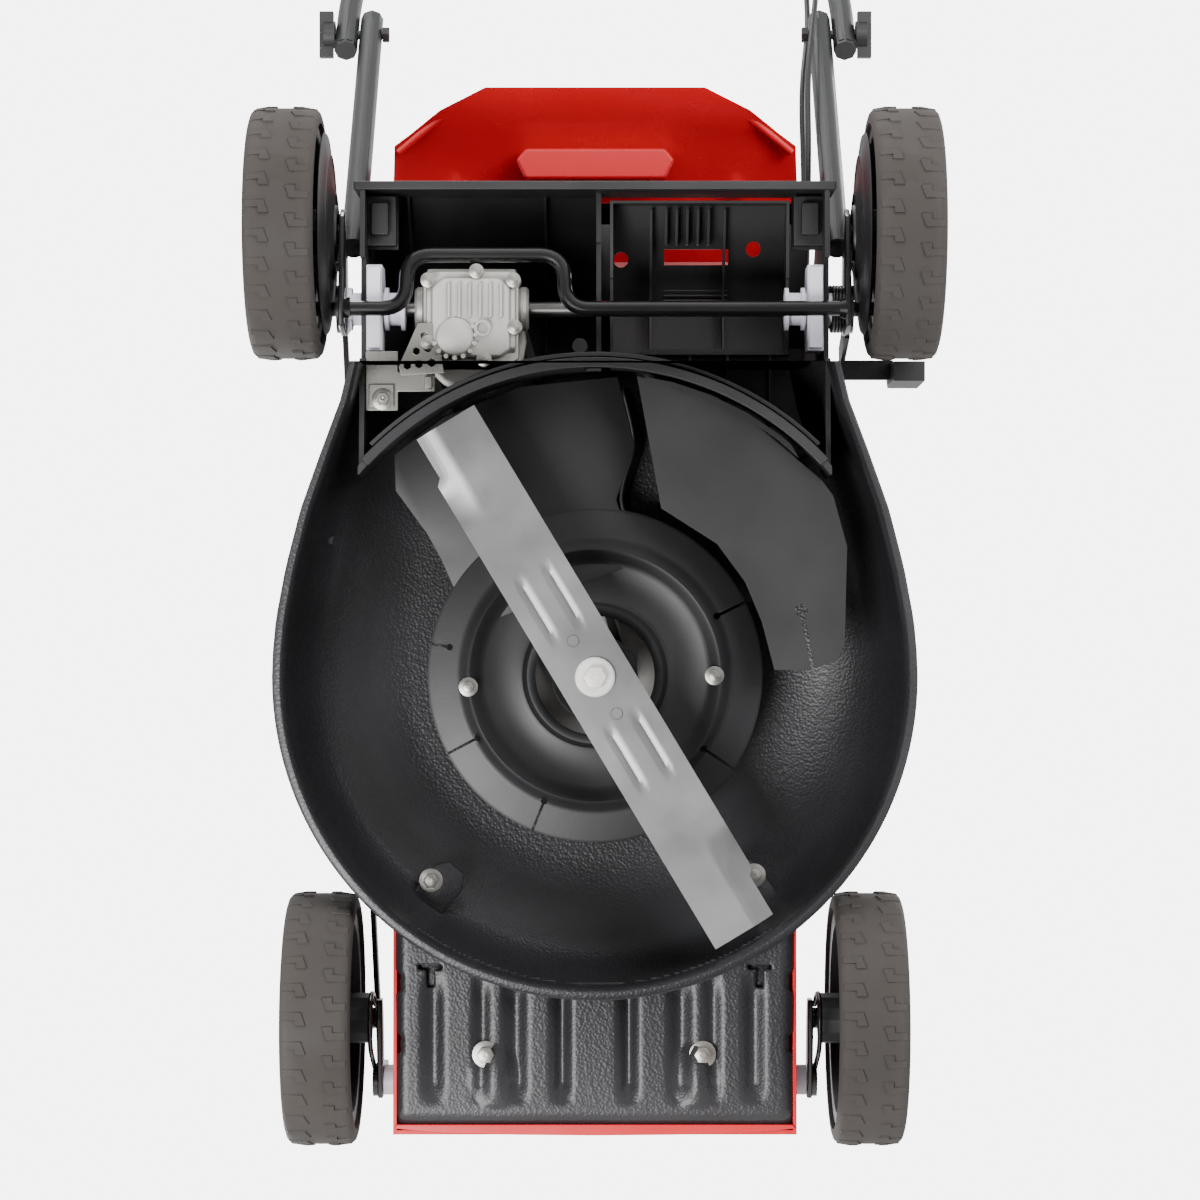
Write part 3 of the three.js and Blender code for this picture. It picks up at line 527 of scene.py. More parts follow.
# The apron in front carries pressed ribs, two half-moon bosses and slots for the cover's hooks.
APRON_HALF, APRON_FRONT, APRON_BACK = 154, -352, -196
RIBS = [(126, 11, 5), (88, 9, 4), (62, 12, 6), (26, 10, 7), (-26, 10, 7), (-67, 12, 6),
        (-92, 9, 4), (-124, 11, 5)]


def apron_level(x, y):
    """How far the pressing stands up from the apron's flat, in millimetres."""
    level = 0.0
    for middle, half, rise in RIBS:
        across = abs(x - middle) / half
        reach = min(max((y + 334) / 16, 0), 1) * min(max((-228 - y) / 22, 0), 1)
        if across < 1:
            level += rise * reach * (0.5 + 0.5 * math.cos(math.pi * across)) ** 0.8
    for side in (-1, 1):
        off = math.hypot((x - side * 78) / 20, (y + 312) / 26)
        if off < 1 and y > -335:
            level -= 5 * (1 - off * off)
    front = max(0.0, (-338 - y) / 14)
    edge = max(0.0, (abs(x) - 146) / 8)
    return level + 9 * front * front + 5 * edge * edge


apron = bmesh.new()
bmesh.ops.create_grid(apron, x_segments=150, y_segments=78, size=0.5)
for vert in apron.verts:
    x = vert.co.x * 2 * APRON_HALF
    y = APRON_BACK + (vert.co.y - 0.5) * (APRON_BACK - APRON_FRONT)
    notch = 0.0
    for middle in (-238, -286):
        notch = max(notch, 7 * (1 - ((y - middle) / 9) ** 2)) if abs(y - middle) < 9 else notch
    if abs(x) > APRON_HALF - 4:
        x = math.copysign(abs(x) - notch, x)
    vert.co = (x, y, 61 + apron_level(x, y))


def in_slot(place):
    """Whether a place lies in one of the T-shaped slots for the cover's hooks."""
    across, y = abs(abs(place.x) - 128), place.y
    return (across < 9 and -228 < y < -223) or (across < 3 and -243 < y < -227)


gone = [
    f
    for f in apron.faces
    if math.hypot(*f.calc_center_median()[:2]) < DECK_R - 11 or in_slot(f.calc_center_median())
]
bmesh.ops.delete(apron, geom=gone, context="FACES")
apron_piece = shown(
    "deck_apron", as_mesh("deck_apron", apron), hammered, "chassis"
)
gauge = apron_piece.modifiers.new("gauge", "SOLIDIFY")
gauge.thickness = 1.8 * MM
gauge.offset = 1.0

# The cover's black hook strip backs the two T-shaped slots.
hook_backs = [slab([(s * 116, -248), (s * 116, -218), (s * 140, -218), (s * 140, -248)], 68, 71, 0.5)
              for s in (1, -1)]
shown("cover_hooks", as_mesh("cover_hooks", together(*hook_backs)), hammered, "chassis")

# Reinforcing pads with zinc plated bolts stand where the front axle is bolted through the bowl.
zinc = polished("bright_zinc_plate", "C9C7C0", 0.28, metal=0.95, grain=2.0, depth=0.03)


def hex_bolt(x, y, z, size, up=-1):
    """A flanged hexagon bolt head that faces down, or up, at a place."""
    flange = spun(
        [(0, 0), (size * 0.95, 0), (size * 0.95, 0.8), (size * 0.6, 1.6), (0, 1.6)],
        steps=32,
    )
    head = slab(arc(size * 0.62, 0, 300, 5), 1.2, 1.2 + size * 0.5, edge=size * 0.06)
    socket = spun([(0, size * 0.5), (size * 0.28, size * 0.5), (size * 0.28, 1.9 + size * 0.5),
                   (size * 0.18, 2.0 + size * 0.5), (size * 0.16, 1.7 + size * 0.5), (0, 1.7 + size * 0.5)],
                  steps=24)
    whole = together(flange, head, socket)
    if up < 0:
        bmesh.ops.scale(whole, vec=(1, 1, -1), verts=whole.verts)
        bmesh.ops.reverse_faces(whole, faces=whole.faces)
    bmesh.ops.translate(whole, vec=(x, y, z), verts=whole.verts)
    return whole


pads = []
for side, pad_x, pad_y in ((1, 131, -170), (-1, -127, -165)):
    pad = slab(
        [(-12, -24), (10, -24), (15, -12), (15, 16), (8, 26), (-8, 26), (-15, 14), (-15, -12)], 0, 5, 2.2
    )
    turn = Matrix.Rotation(math.radians(side * 40), 4, "Z")
    bmesh.ops.transform(pad, matrix=turn, verts=pad.verts)
    bmesh.ops.translate(pad, vec=(pad_x - side * 4, pad_y - 4, 128), verts=pad.verts)
    pads.append(pad)
shown("deck_pads", as_mesh("deck_pads", together(*pads)), hammered, "chassis")
deck_bolts = [
    hex_bolt(131, -164, 127.8, 10), hex_bolt(-127, -160, 127.8, 10),
    hex_bolt(85, -294, 60, 11), hex_bolt(-84, -294, 60, 11),
]
shown("deck_bolts", as_mesh("deck_bolts", together(*deck_bolts)), zinc, "chassis")

# ------------------------------------------------------------------ red covers
# The nose cover over the front axle and the rear flap are glossy red ABS mouldings, 3 mm thick,
# with softly rolled edges. The flap has a stepped panel and stiffening ribs inside.
red_abs = polished("glossy_red_abs", "C40F1B", 0.26, coat=0.5, grain=3.0, depth=0.02, patchy=0.12)


def moulded_copy(cad_name, round_by, corner=28):
    """The CAD piece with its flat stretches joined and its edges rounded."""
    shape = bmesh.new()
    shape.from_mesh(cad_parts[cad_name].data)
    bmesh.ops.transform(
        shape,
        matrix=Matrix.Scale(1000, 4) @ Matrix.Translation((0, -AXIS_Y, 0)),
        verts=shape.verts,
    )
    bmesh.ops.remove_doubles(shape, verts=shape.verts, dist=0.02)
    bmesh.ops.dissolve_limit(
        shape, angle_limit=math.radians(1.5), verts=shape.verts, edges=shape.edges
    )
    bmesh.ops.recalc_face_normals(shape, faces=shape.faces)
    if round_by:
        ease(shape, round_by, corner)
    return shape


def moulded(cad_name, round_by, material, body, extras=(), corner=28):
    """Shows a rounded copy of a CAD piece, with any ribs, screws or lips it carries."""
    whole = together(moulded_copy(cad_name, round_by, corner), *extras)
    mesh = as_mesh(cad_name + "_fine", whole)
    piece = shown(cad_name + "_fine", mesh, material, body, (cad_name,))
    flatter = piece.modifiers.new("flat_faces", "WEIGHTED_NORMAL")
    flatter.keep_sharp = True
    return piece


def nose_lip():
    """The cover's bowed lower lip, which shows round the apron."""
    front = [(-157, -352), (-120, -355.5), (-60, -357), (0, -357.5), (60, -357), (120, -355.5), (157, -352)]
    return slab(front + [(154, -349), (-154, -349)], 60.5, 66, 0.6)


moulded("front_cover", 1.2, red_abs, "chassis", [nose_lip()])

flap_lip = bent_tube(
    "flap_lip",
    [at(x, y, z) for x, y, z in ((-163, 432, 238), (-126, 461, 226), (-90, 477, 206),
                                 (90, 477, 206), (126, 461, 226), (163, 432, 238))],
    3.2, 16, sides=3,
)
shown("flap_lip", flap_lip, red_abs, "flap")
flap_step = slab([(-58, 408), (58, 408), (66, 424), (58, 434), (-58, 434), (-66, 424)], 222, 243, 3.0)
flap_bosses = [spun([(0, 248), (6, 248), (6, 264), (0, 264)], centre=(x, 404, 0), steps=24)
               for x in (-118, 118)]
moulded("rear_flap", 1.6, red_abs, "flap", [flap_step] + flap_bosses)

# ------------------------------------------------------------------ belt guard
# A cover of black polypropylene below the drive belt, with a raised lip round the
# blade's boss, a rolled ridge, and keyhole slits that let its rim flex.
black_pp = polished("black_polypropylene", "1B1B1D", 0.44, grain=1.6, depth=0.06)
guard_disc = spun(
    [
        (47.4, 112), (50, 110.6), (54, 111), (56, 113), (58, 117), (62, 118.5), (88, 118.5),
        (93, 116), (97, 111.5), (100, 110), (103, 111.5), (107, 116), (111, 117.4), (131, 117.4),
        (133.4, 118.6), (133.4, 121), (131, 121.6), (47.4, 121.6),
    ],
    steps=128,
)


guard_mesh = as_mesh("belt_guard_disc", guard_disc)
SLIT_END = 140
for angle, inner in ((11, 118), (-28, 106), (-68, 108), (-146, 104), (154, 108)):
    narrow = slab([(inner, -1.1), (SLIT_END, -1.1), (SLIT_END, 1.1), (inner, 1.1)], 90, 140)
    eye = spun([(0, 89), (2.6, 89), (2.6, 141), (0, 141)], centre=(inner, 0, 0), steps=20)
    turn = Matrix.Rotation(math.radians(angle), 4, "Z")
    for cutter in (narrow, eye):
        bmesh.ops.transform(cutter, matrix=turn, verts=cutter.verts)
    guard_mesh = cut_away("belt_guard_disc", guard_mesh, narrow, eye)
shown("belt_guard_disc", guard_mesh, black_pp, "chassis", ("belt_guard",))

# Its tail covers the belt on the way to the gearbox: a channel with rolled sides.
TAIL = [(98, 37), (123, 93), (134, 113), (159, 147), (160, 176), (120, 206), (60, 230), (-18, 238),
        (-32, 182), (-17, 140), (-30, 104)]
tail_floor = slab(TAIL + [(-40, 92), (40, 60)], 118.2, 121.4, 0.8)
tail_wall = bmesh.new()
rim = [(-34, 94), (-27, 116), (-19, 140), (-24, 160), (-33, 184), (-19, 237)]
foot_line = [tail_wall.verts.new((x, y, 118.6)) for x, y in rim]
wall_edges = [tail_wall.edges.new(pair) for pair in zip(foot_line, foot_line[1:])]
grown = bmesh.ops.extrude_edge_only(tail_wall, edges=wall_edges)
crest = [g for g in grown["geom"] if isinstance(g, bmesh.types.BMVert)]
bmesh.ops.translate(tail_wall, vec=(-9, 2, 30), verts=crest)
bmesh.ops.subdivide_edges(tail_wall, edges=tail_wall.edges, cuts=3, use_grid_fill=True)
for _ in range(6):
    bmesh.ops.smooth_vert(tail_wall, verts=tail_wall.verts, factor=0.4, use_axis_x=True, use_axis_y=True)
shown("belt_guard_tail", as_mesh("belt_guard_tail", tail_floor), black_pp, "chassis")
tail_side = shown(
    "belt_guard_side", as_mesh("belt_guard_side", tail_wall), black_pp, "chassis"
)
side_gauge = tail_side.modifiers.new("gauge", "SOLIDIFY")
side_gauge.thickness = 2.5 * MM
guard_screws = together(hex_bolt(100.5, -9, 110.4, 8), hex_bolt(-95, 0, 110.4, 8))
shown("belt_guard_screws", as_mesh("belt_guard_screws", guard_screws), zinc, "chassis")

# ------------------------------------------------------------------ rear chassis
# One black moulding that carries the gearbox, the drive shaft and the handle. Its outside has
# spark texture, its inside shows ribs, and a double lip runs round behind the blade.
textured_pp = polished("spark_textured_polypropylene", "1A1A1C", 0.5, grain=1.2, depth=0.12)
chassis_ribs = [
    slab([(262, 204), (300, 250), (384, 150), (384, 140), (300, 236), (262, 192)],
         x - 1.1, x + 1.1, 0.4, "x")
    for x in (40, 150)
]
lip_outer = arc(249.5, 43, 137, 60)
lip_inner = arc(241.5, 137, 43, 60)
baffle_lip = slab(lip_outer + lip_inner, 60.5, 64, 0.8)
baffle_step = slab(arc(254, 46, 134, 60) + arc(250.5, 134, 46, 60), 66, 78, 0.5)
strip_foot = slab([(-190, 383), (190, 383), (190, 390), (-190, 390)], 86.5, 92, 1.0)
corner_boxes = [
    slab([(s * 158, 342), (s * 158, 382), (s * 183, 382), (s * 183, 342)], 118, 127.6, 1.2)
    for s in (-1, 1)
]
recess_steps = [
    slab([(s * 164, 350), (s * 164, 376), (s * 178, 376), (s * 178, 350)], 110, 119, 1.2)
    for s in (-1, 1)
]
post = spun([(0, 150), (7, 150), (6, 110), (0, 110)], centre=(12, 262, 0), steps=24)
moulded(
    "rear_chassis", 0.8, textured_pp, "chassis",
    chassis_ribs + [baffle_lip, baffle_step, strip_foot, post] + corner_boxes + recess_steps,
)

# ------------------------------------------------------------------ mulching plug
# A satin dark grey nylon moulding: the curved leaf that closes the tunnel, its neck, and the
# ribbed shell behind it, with ejector marks where the mould's pins pushed.
warm_nylon = polished("satin_grey_nylon", "2C2B2B", 0.36, grain=2.2, depth=0.03, patchy=0.15)
plug_parts = []
for x in (-45, -104):
    plug_parts.append(
        slab([(262, 183), (303, 196), (372, 138), (372, 130), (303, 178), (262, 166)],
             x - 1.1, x + 1.1, 0.3, "x")
    )
for step in range(5):
    x = -57 - step * 8.5
    plug_parts.append(slab([(346, 158), (372, 138), (372, 126), (346, 146)], x - 1.2, x + 1.2, 0.4, "x"))
for x in (-48, -76, -106, -140):
    plug_parts.append(slab([(196, 146.5), (258, 146.5), (258, 134), (200, 140)],
                           x - 1.1, x + 1.1, 0.3, "x"))
for x, y in ((-92, 236), (-124, 226), (-156, 214)):
    plug_parts.append(spun([(5, 146), (6, 146), (6, 144), (5, 144)], centre=(x, y, 0), steps=24))
for row in range(6):
    y = 300 + row * 4
    plug_parts.append(slab([(-108, y), (-56, y), (-56, y + 1.6), (-108, y + 1.6)], 188, 196, 0.3))
moulded("mulch_plug", 0.7, warm_nylon, "chassis", plug_parts)

# Black liner strips of the tunnel close the gaps round the plug's shell.
liner = [
    slab([(x0, y0), (x1, y0), (x1, y1), (x0, y1)], 204, 207, 0.4)
    for x0, x1, y0, y1 in ((-13, -2, 262, 386), (-172, -2, 368, 386), (-172, -146, 262, 386),
                           (-172, -2, 284, 302))
]
shown("tunnel_liner", as_mesh("tunnel_liner", together(*liner)), textured_pp, "chassis")

# ------------------------------------------------------------------ gearbox
# Two die cast aluminium halves with cooling fins, bead blasted, held by six zinc plated screws.
cast_alloy = polished("bead_blasted_die_casting", "C4C1BC", 0.46, metal=0.75, grain=0.9,
                      depth=0.12, patchy=0.18)
SHAFT_Y, SHAFT_Z = 291, 112


def turned_x(profile, x, y, z, steps=48):
    """A profile of (radius, distance) turned about an axis that runs from left to right."""
    return spun(profile, axis=(1, 0, 0), centre=(x, y, z), steps=steps)


gear_lip = [(60, 250), (66, 245), (129, 245), (135, 250), (135, 313), (128, 319), (67, 319), (60, 313)]
case_parts = [slab(gear_lip, 84, 90, 1.2)]
dome = slab([(66, 256), (74, 250), (120, 250), (129, 258), (129, 305), (120, 313), (75, 313), (66, 305)],
            76, 84, 3.0)
case_parts.append(dome)
for number in range(6):
    x = 72 + number * 8.2
    case_parts.append(slab([(x, 281), (x + 3.2, 281), (x + 3.2, 309), (x, 309)], 72.5, 78, 1.2))
case_parts.append(spun([(0, 71), (13, 71), (15, 73), (15, 80), (0, 80)], centre=(110, 266, 0), steps=48))
for tooth in range(9):
    place = math.radians(150 + tooth * 24)
    case_parts.append(
        spun([(0, 72), (1.8, 72), (2.2, 80), (0, 80)],
             centre=(110 + 16.5 * math.cos(place), 266 + 16.5 * math.sin(place), 0), steps=10)
    )
case_parts.append(spun([(4.6, 71.5), (6.4, 71.5), (6.4, 78), (4.6, 78)], centre=(88, 273, 0), steps=32))
SCREWS = [(131, 311), (93, 318), (64, 311), (131, 262), (63, 274), (87, 249)]
for x, y in SCREWS:
    case_parts.append(spun([(0, 77), (5.2, 77), (6, 79), (6, 92), (0, 92)], centre=(x, y, 0), steps=24))
for x in (56.5, 138.5):
    case_parts.append(
        turned_x([(7, -4), (15.5, -4), (17.5, -2), (17.5, 2), (15.5, 4), (7, 4)], x, SHAFT_Y, SHAFT_Z)
    )
moulded("gearbox_lower_case", 2.2, cast_alloy, "chassis", case_parts)
moulded("gearbox_upper_case", 2.0, cast_alloy, "chassis")
case_screws = together(*[hex_bolt(x, y, 77, 6.2) for x, y in SCREWS])
shown("gearbox_screws", as_mesh("gearbox_screws", case_screws), zinc, "chassis")

# The torque plate and its bracket are zinc plated pressings.
moulded("torque_plate", 0.5, zinc, "chassis")
bracket_parts = [
    slab([(158, 212), (178, 212), (178, 230), (158, 230)], 85, 88.4, 0.8),
    hex_bolt(167, 218, 85, 9),
    slab([(128, 226), (134, 226), (134, 236), (128, 236)], 82, 90, 0.8),
]
moulded("gearbox_bracket", 0.7, zinc, "chassis", bracket_parts)

# ------------------------------------------------------------------ bearings and drive shaft
# White acetal supports carry the ground steel drive shaft and let the rear axle frame turn.
acetal = polished("white_acetal", "DEDCE8", 0.4, grain=3.0, depth=0.02, patchy=0.1)
for side, word in ((1, "left"), (-1, "right")):
    washers = [
        turned_x([(6.4, -1.5), (17, -1.5), (17, 1.5), (6.4, 1.5)], side * x, SHAFT_Y, SHAFT_Z)
        for x in (152, 165, 194)
    ]
    bar_pad = slab([(259, 96), (323, 96), (323, 91.5), (259, 91.5)], side * 169, side * 180, 0.8, "x")
    moulded("axle_support_" + word, 0.8, acetal, "chassis", washers + [bar_pad])
    moulded("front_bush_" + word, 0.8, acetal, "chassis")
ground_steel = polished("ground_steel", "8A8987", 0.3, metal=1.0, grain=4.0, depth=0.01)
shaft = turned_x([(0, -236), (5.4, -236), (6, -235), (6, 235), (5.4, 236), (0, 236)], 0, SHAFT_Y, SHAFT_Z)
shown("drive_shaft_fine", as_mesh("drive_shaft_fine", shaft), ground_steel, "drive_axle",
      ("drive_shaft",))


def toothed(name, x, radius, teeth, body, cad_name):
    """A small spur gear on the drive shaft, its teeth cut about the pitch circle."""
    outline = []
    for step in range(teeth * 4):
        turn = 2 * math.pi * step / (teeth * 4)
        reach = radius + (1.6 if step % 4 in (1, 2) else -1.8)
        outline.append((SHAFT_Y + reach * math.cos(turn), SHAFT_Z + reach * math.sin(turn)))
    gear = slab(outline, x - 6, x + 6, 0.0, "x")
    shown(name, as_mesh(name, gear), ground_steel, body, (cad_name,))


toothed("pinion_left_teeth", 227, 14.2, 15, "pinion_left_body", "pinion_left")
toothed("pinion_right_teeth", -227, 14.2, 15, "pinion_right_body", "pinion_right")

# ------------------------------------------------------------------ axle frames
# Both axle frames are bent steel bar and pressed plates, welded and enamelled gloss black. The
# rear bar is cranked round the gearbox. A flat rod ties the two together on the left.
enamel = polished("gloss_black_enamel", "0E0E0F", 0.17, coat=0.6, grain=5.0, depth=0.02)
bar_points = [(-199, 289), (24, 289), (24, 331), (148, 331), (148, 289), (199, 289)]
torsion = bent_tube("torsion_bar", [at(x, y, 80) for x, y in bar_points], 6, 20, sides=6)
shown("torsion_bar", torsion, enamel, "rear_frame")
NOSE_Y, NOSE_Z = -321, 112
REAR_X, REAR_Y, FRONT_X, FRONT_Y, WHEEL_Z = 243, 349.5, 214.5, -270.5, 100
PLATE = [(269, 104), (275, 74), (301, 70), (361.5, 80), (369.5, 100), (357.5, 118), (311, 130)]


def stub_axle(side, wheel_x, y, z, inner):
    """A stub axle with its washer and domed nut, for one wheel."""
    end = wheel_x + 27
    profile = [(0, inner), (8.2, inner), (8.2, end - 2), (13, end - 2), (13, end - 0.8), (8, end - 0.6),
               (7, end), (0, end)]
    shape = turned_x(profile, 0, y, z, 32)
    if side < 0:
        bmesh.ops.scale(shape, vec=(-1, 1, 1), verts=shape.verts)
        bmesh.ops.reverse_faces(shape, faces=shape.faces)
    return shape


frame_parts = []
for side, top in ((1, 192), (-1, 146)):
    outline = PLATE + [(299, top - 2), (296, top), (286, top), (283, top - 2), (271, 126)]
    low, high = sorted((side * 197, side * 201))
    frame_parts.append(slab(outline, low, high, 0.8, "x"))
    frame_parts.append(
        turned_x([(13.5, -2), (19, -2), (19, 2), (13.5, 2)], side * 202.6, SHAFT_Y, SHAFT_Z)
    )
    frame_parts.append(turned_x([(6, -3), (9, -3), (7, 3), (6, 3)], side * 195, 289, 80))
    frame_parts.append(stub_axle(side, REAR_X, REAR_Y, WHEEL_Z, 200))
frame_parts.append(turned_x([(0, 200), (4, 200), (4, 207), (3, 208), (0, 208)], 0, 291, 184, 24))
shown("rear_plates", as_mesh("rear_plates", together(*frame_parts)), enamel, "rear_frame",
      ("rear_axle_frame",))

front_parts = []
for side, top in ((1, 182.8), (-1, 128)):
    outline = [(-335, 106), (-321, 97), (-270.5, 84), (-255.5, 92), (-255.5, 108), (-270.5, 117),
               (-311, 126), (-314, top - 3), (-317, top), (-325, top), (-328, top - 3), (-335, 118)]
    low, high = sorted((side * 168, side * 172))
    front_parts.append(slab(outline, low, high, 0.8, "x"))
    front_parts.append(turned_x([(6, -2), (13, -2), (13, 2), (6, 2)], side * 174, NOSE_Y, NOSE_Z))
    front_parts.append(stub_axle(side, FRONT_X, FRONT_Y, WHEEL_Z, 171))
    loop_points = [at(side * 174.5, -310, 104), at(side * 176, -290, 70), at(side * 176, -258, 66),
                   at(side * 176, -248, 96), at(side * 174.5, -262, 116)]
    loop = bent_tube("front_loop", loop_points, 2, 14, sides=3)
    shown("front_loop_" + ("left" if side > 0 else "right"), loop, enamel, "front_frame")
front_parts.append(turned_x([(0, -171), (6, -171), (6, 171), (0, 171)], 0, NOSE_Y, NOSE_Z, 32))
front_parts.append(turned_x([(0, 171), (4, 171), (4, 178), (0, 178.5)], 0, NOSE_Y, 174.8, 24))
shown("front_plates", as_mesh("front_plates", together(*front_parts)), enamel, "front_frame",
      ("front_axle_frame",))
brown_steel = polished("oiled_flat_steel", "2A2420", 0.4, metal=0.5, grain=2.0, depth=0.03)
moulded("link_rod", 0.8, brown_steel, "link")

# The torsion spring that lifts the chassis stands coiled round the right-hand pivot.
turns, spring_steps = 4.5, 110
coil = [
    at(
        -187 - 2.6 * turns * i / spring_steps,
        291 + 17.5 * math.cos(2 * math.pi * turns * i / spring_steps),
        112 + 17.5 * math.sin(2 * math.pi * turns * i / spring_steps),
    )
    for i in range(spring_steps + 1)
]
spring = bent_tube("lift_spring", coil, 1.6, 0, sides=3)
shown("lift_spring", spring, enamel, "chassis")

# ------------------------------------------------------------------ wheels
# Moulded black polypropylene rims carry dusty rubber tyres with shallow lugs along both
# shoulders. A cone keeps grass off each rear wheel's gear ring. Front wheels are open inside.
tyre_rubber = polished("dusty_tyre_rubber", "3A3532", 0.82, grain=0.7, depth=0.12, patchy=0.3)
TREAD = [(-27, 87), (-27, 92.5), (-26, 95.6), (-23.5, 97.8), (-20, 98.4), (0, 98.6), (20, 98.4),
         (23.5, 97.8), (26, 95.6), (27, 92.5), (27, 87)]
LUG = [(5, -3.4), (14, -3.4), (14, -0.4), (25.2, -0.4), (25.2, 3.2), (9, 3.2)]


def tyre_shape(x, y, z):
    """The tyre with 28 lugs on each shoulder, those on one side half a step behind."""
    steps = len(TREAD)
    shape = turned_x([(radius, place) for place, radius in TREAD], x, y, z, 112)
    for number in range(56):
        side = 1 if number % 2 else -1
        middle = number * 360 / 56
        rings = []
        for radius, shrink in ((97.2, 1.0), (99.9, 0.86)):
            ring = []
            for place, turn in LUG:
                place = 15 + (place - 15) * shrink
                angle = math.radians(middle + turn * shrink * side)
                level = radius - (1.6 if place > 23 else 0)
                ring.append(
                    shape.verts.new(
                        (x + side * place, y + level * math.cos(angle), z + level * math.sin(angle))
                    )
                )
            rings.append(ring)
        count = len(LUG)
        for i in range(count):
            j = (i + 1) % count
            shape.faces.new([rings[0][i], rings[0][j], rings[1][j], rings[1][i]])
        shape.faces.new(rings[1])
    bmesh.ops.recalc_face_normals(shape, faces=shape.faces)
    return shape


for side, word in ((1, "left"), (-1, "right")):
    for end, x, y in (("rear", REAR_X, REAR_Y), ("front", FRONT_X, FRONT_Y)):
        tyre_name = end + "_tyre_" + word
        shown(tyre_name + "_tread", as_mesh(tyre_name + "_tread", tyre_shape(side * x, y, WHEEL_Z)),
              tyre_rubber, end + "_wheel_" + word, (tyre_name,))
        hub = [
            turned_x([(8.6, -26), (12, -26), (13, -25), (13, -16), (20, -15), (21, -14), (21, -4),
                      (8.6, -4)], side * x, y, WHEEL_Z)
        ]
        for number in range(12 if end == "front" else 0):
            turn = math.radians(number * 30 + 15)
            rib = slab([(20, -1.1), (76, -1.1), (76, 1.1), (20, 1.1)], -10, 4, 0.4, "x")
            bmesh.ops.rotate(rib, cent=(0, 0, 0), matrix=Matrix.Rotation(turn, 3, "X"),
                             verts=rib.verts)
            bmesh.ops.translate(rib, vec=(side * x, y, WHEEL_Z), verts=rib.verts)
            hub.append(rib)
        moulded(end + "_rim_" + word, 0.9, black_pp, end + "_wheel_" + word, hub)
    cone = [(17, 203), (22, 203), (23, 204.5), (23, 206), (30, 206), (31.5, 204.2), (36, 205),
            (38, 206.5), (60, 208.8), (62, 207.9), (64, 209.3), (78, 211.2), (80, 213), (78, 214),
            (36, 208.5), (17, 206)]
    if side < 0:
        cone = [(radius, -place) for radius, place in reversed(cone)]
    shown("wheel_cone_" + word, as_mesh("wheel_cone_" + word, turned_x(cone, 0, REAR_Y, WHEEL_Z, 72)),
          black_pp, "rear_frame", ("dust_cover_" + word,))

# ------------------------------------------------------------------ blade
# Hardened steel bar with a satin finish, ground along its leading edges and turned up behind them
# near the tips. A hexagon bolt and a wide washer clamp it under the hub, and two studs locate it.
blade_finish = polished("satin_blade_steel", "9A9A9B", 0.36, metal=0.9, grain=0.5, depth=0.05,
                        patchy=0.3)


BLADE_TURN = math.radians(59)


def blade_shape():
    """The blade bar as a fine grid, with its tips, edges and stiffening streaks."""
    shape = bmesh.new()
    along = [-230 + 460 * i / 92 for i in range(93)]
    across = [-28.5, -26, -22, -18, -15, -12, -9, -5, 0, 5, 9, 12, 15, 18, 22, 26, 28.5]
    grids = []
    for face in (0, 1):
        grid = []
        for u in along:
            row = []
            side = 1 if u > 0 else -1
            for v in across:
                ahead = v * side
                lift = 0.0
                if abs(u) > 150 and ahead < -9:
                    lift = min(1, (abs(u) - 150) / 30) * (-9 - ahead) * 0.28
                thick = 3.5
                if ahead > 15 and abs(u) > 128:
                    thick = 3.5 - 2.9 * (ahead - 15) / 13.5
                if abs(v) == 12 and 40 < abs(u) < 92:
                    lift += 1.2
                width = v
                if abs(u) > 194 and ahead < -18:
                    width = -side * (18 + (abs(ahead) - 18) * 0.55)
                level = 55.5 + lift + (thick if face else 0)
                row.append(shape.verts.new((u, width, level)))
            grid.append(row)
        grids.append(grid)
    low, high = grids
    last_u, last_v = len(along) - 1, len(across) - 1
    for i in range(last_u):
        for j in range(last_v):
            shape.faces.new([low[i][j], low[i][j + 1], low[i + 1][j + 1], low[i + 1][j]])
            shape.faces.new([high[i][j], high[i + 1][j], high[i + 1][j + 1], high[i][j + 1]])
    for i in range(last_u):
        shape.faces.new([low[i][0], low[i + 1][0], high[i + 1][0], high[i][0]])
        shape.faces.new([low[i + 1][last_v], low[i][last_v], high[i][last_v], high[i + 1][last_v]])
    for j in range(last_v):
        shape.faces.new([low[0][j + 1], low[0][j], high[0][j], high[0][j + 1]])
        shape.faces.new([low[last_u][j], low[last_u][j + 1], high[last_u][j + 1], high[last_u][j]])
    bmesh.ops.rotate(shape, cent=(0, 0, 0), matrix=Matrix.Rotation(BLADE_TURN, 3, "Z"),
                     verts=shape.verts)
    return shape


studs = []
for side in (1, -1):
    stud_at = (side * 33 * math.cos(BLADE_TURN), side * 33 * math.sin(BLADE_TURN), 0)
    studs.append(spun([(0, 54.4), (4.2, 54.4), (4.8, 55), (4.8, 59), (0, 59)], centre=stud_at,
                      steps=24))
shown("blade_bar", as_mesh("blade_bar", together(blade_shape(), *studs)), blade_finish, "crank",
      ("blade",))
pale_disc = polished("pale_washer", "E4E2DE", 0.5, metal=0.2, grain=2.0, depth=0.04)
washer_shape = spun([(0, 51.4), (14, 51.4), (15.5, 52.4), (15.5, 55.2), (0, 55.2)], steps=64)
bolt_parts = together(washer_shape, hex_bolt(0, 0, 51.5, 15))
shown("blade_bolt_fine", as_mesh("blade_bolt_fine", bolt_parts), pale_disc, "crank", ("blade_bolt",))

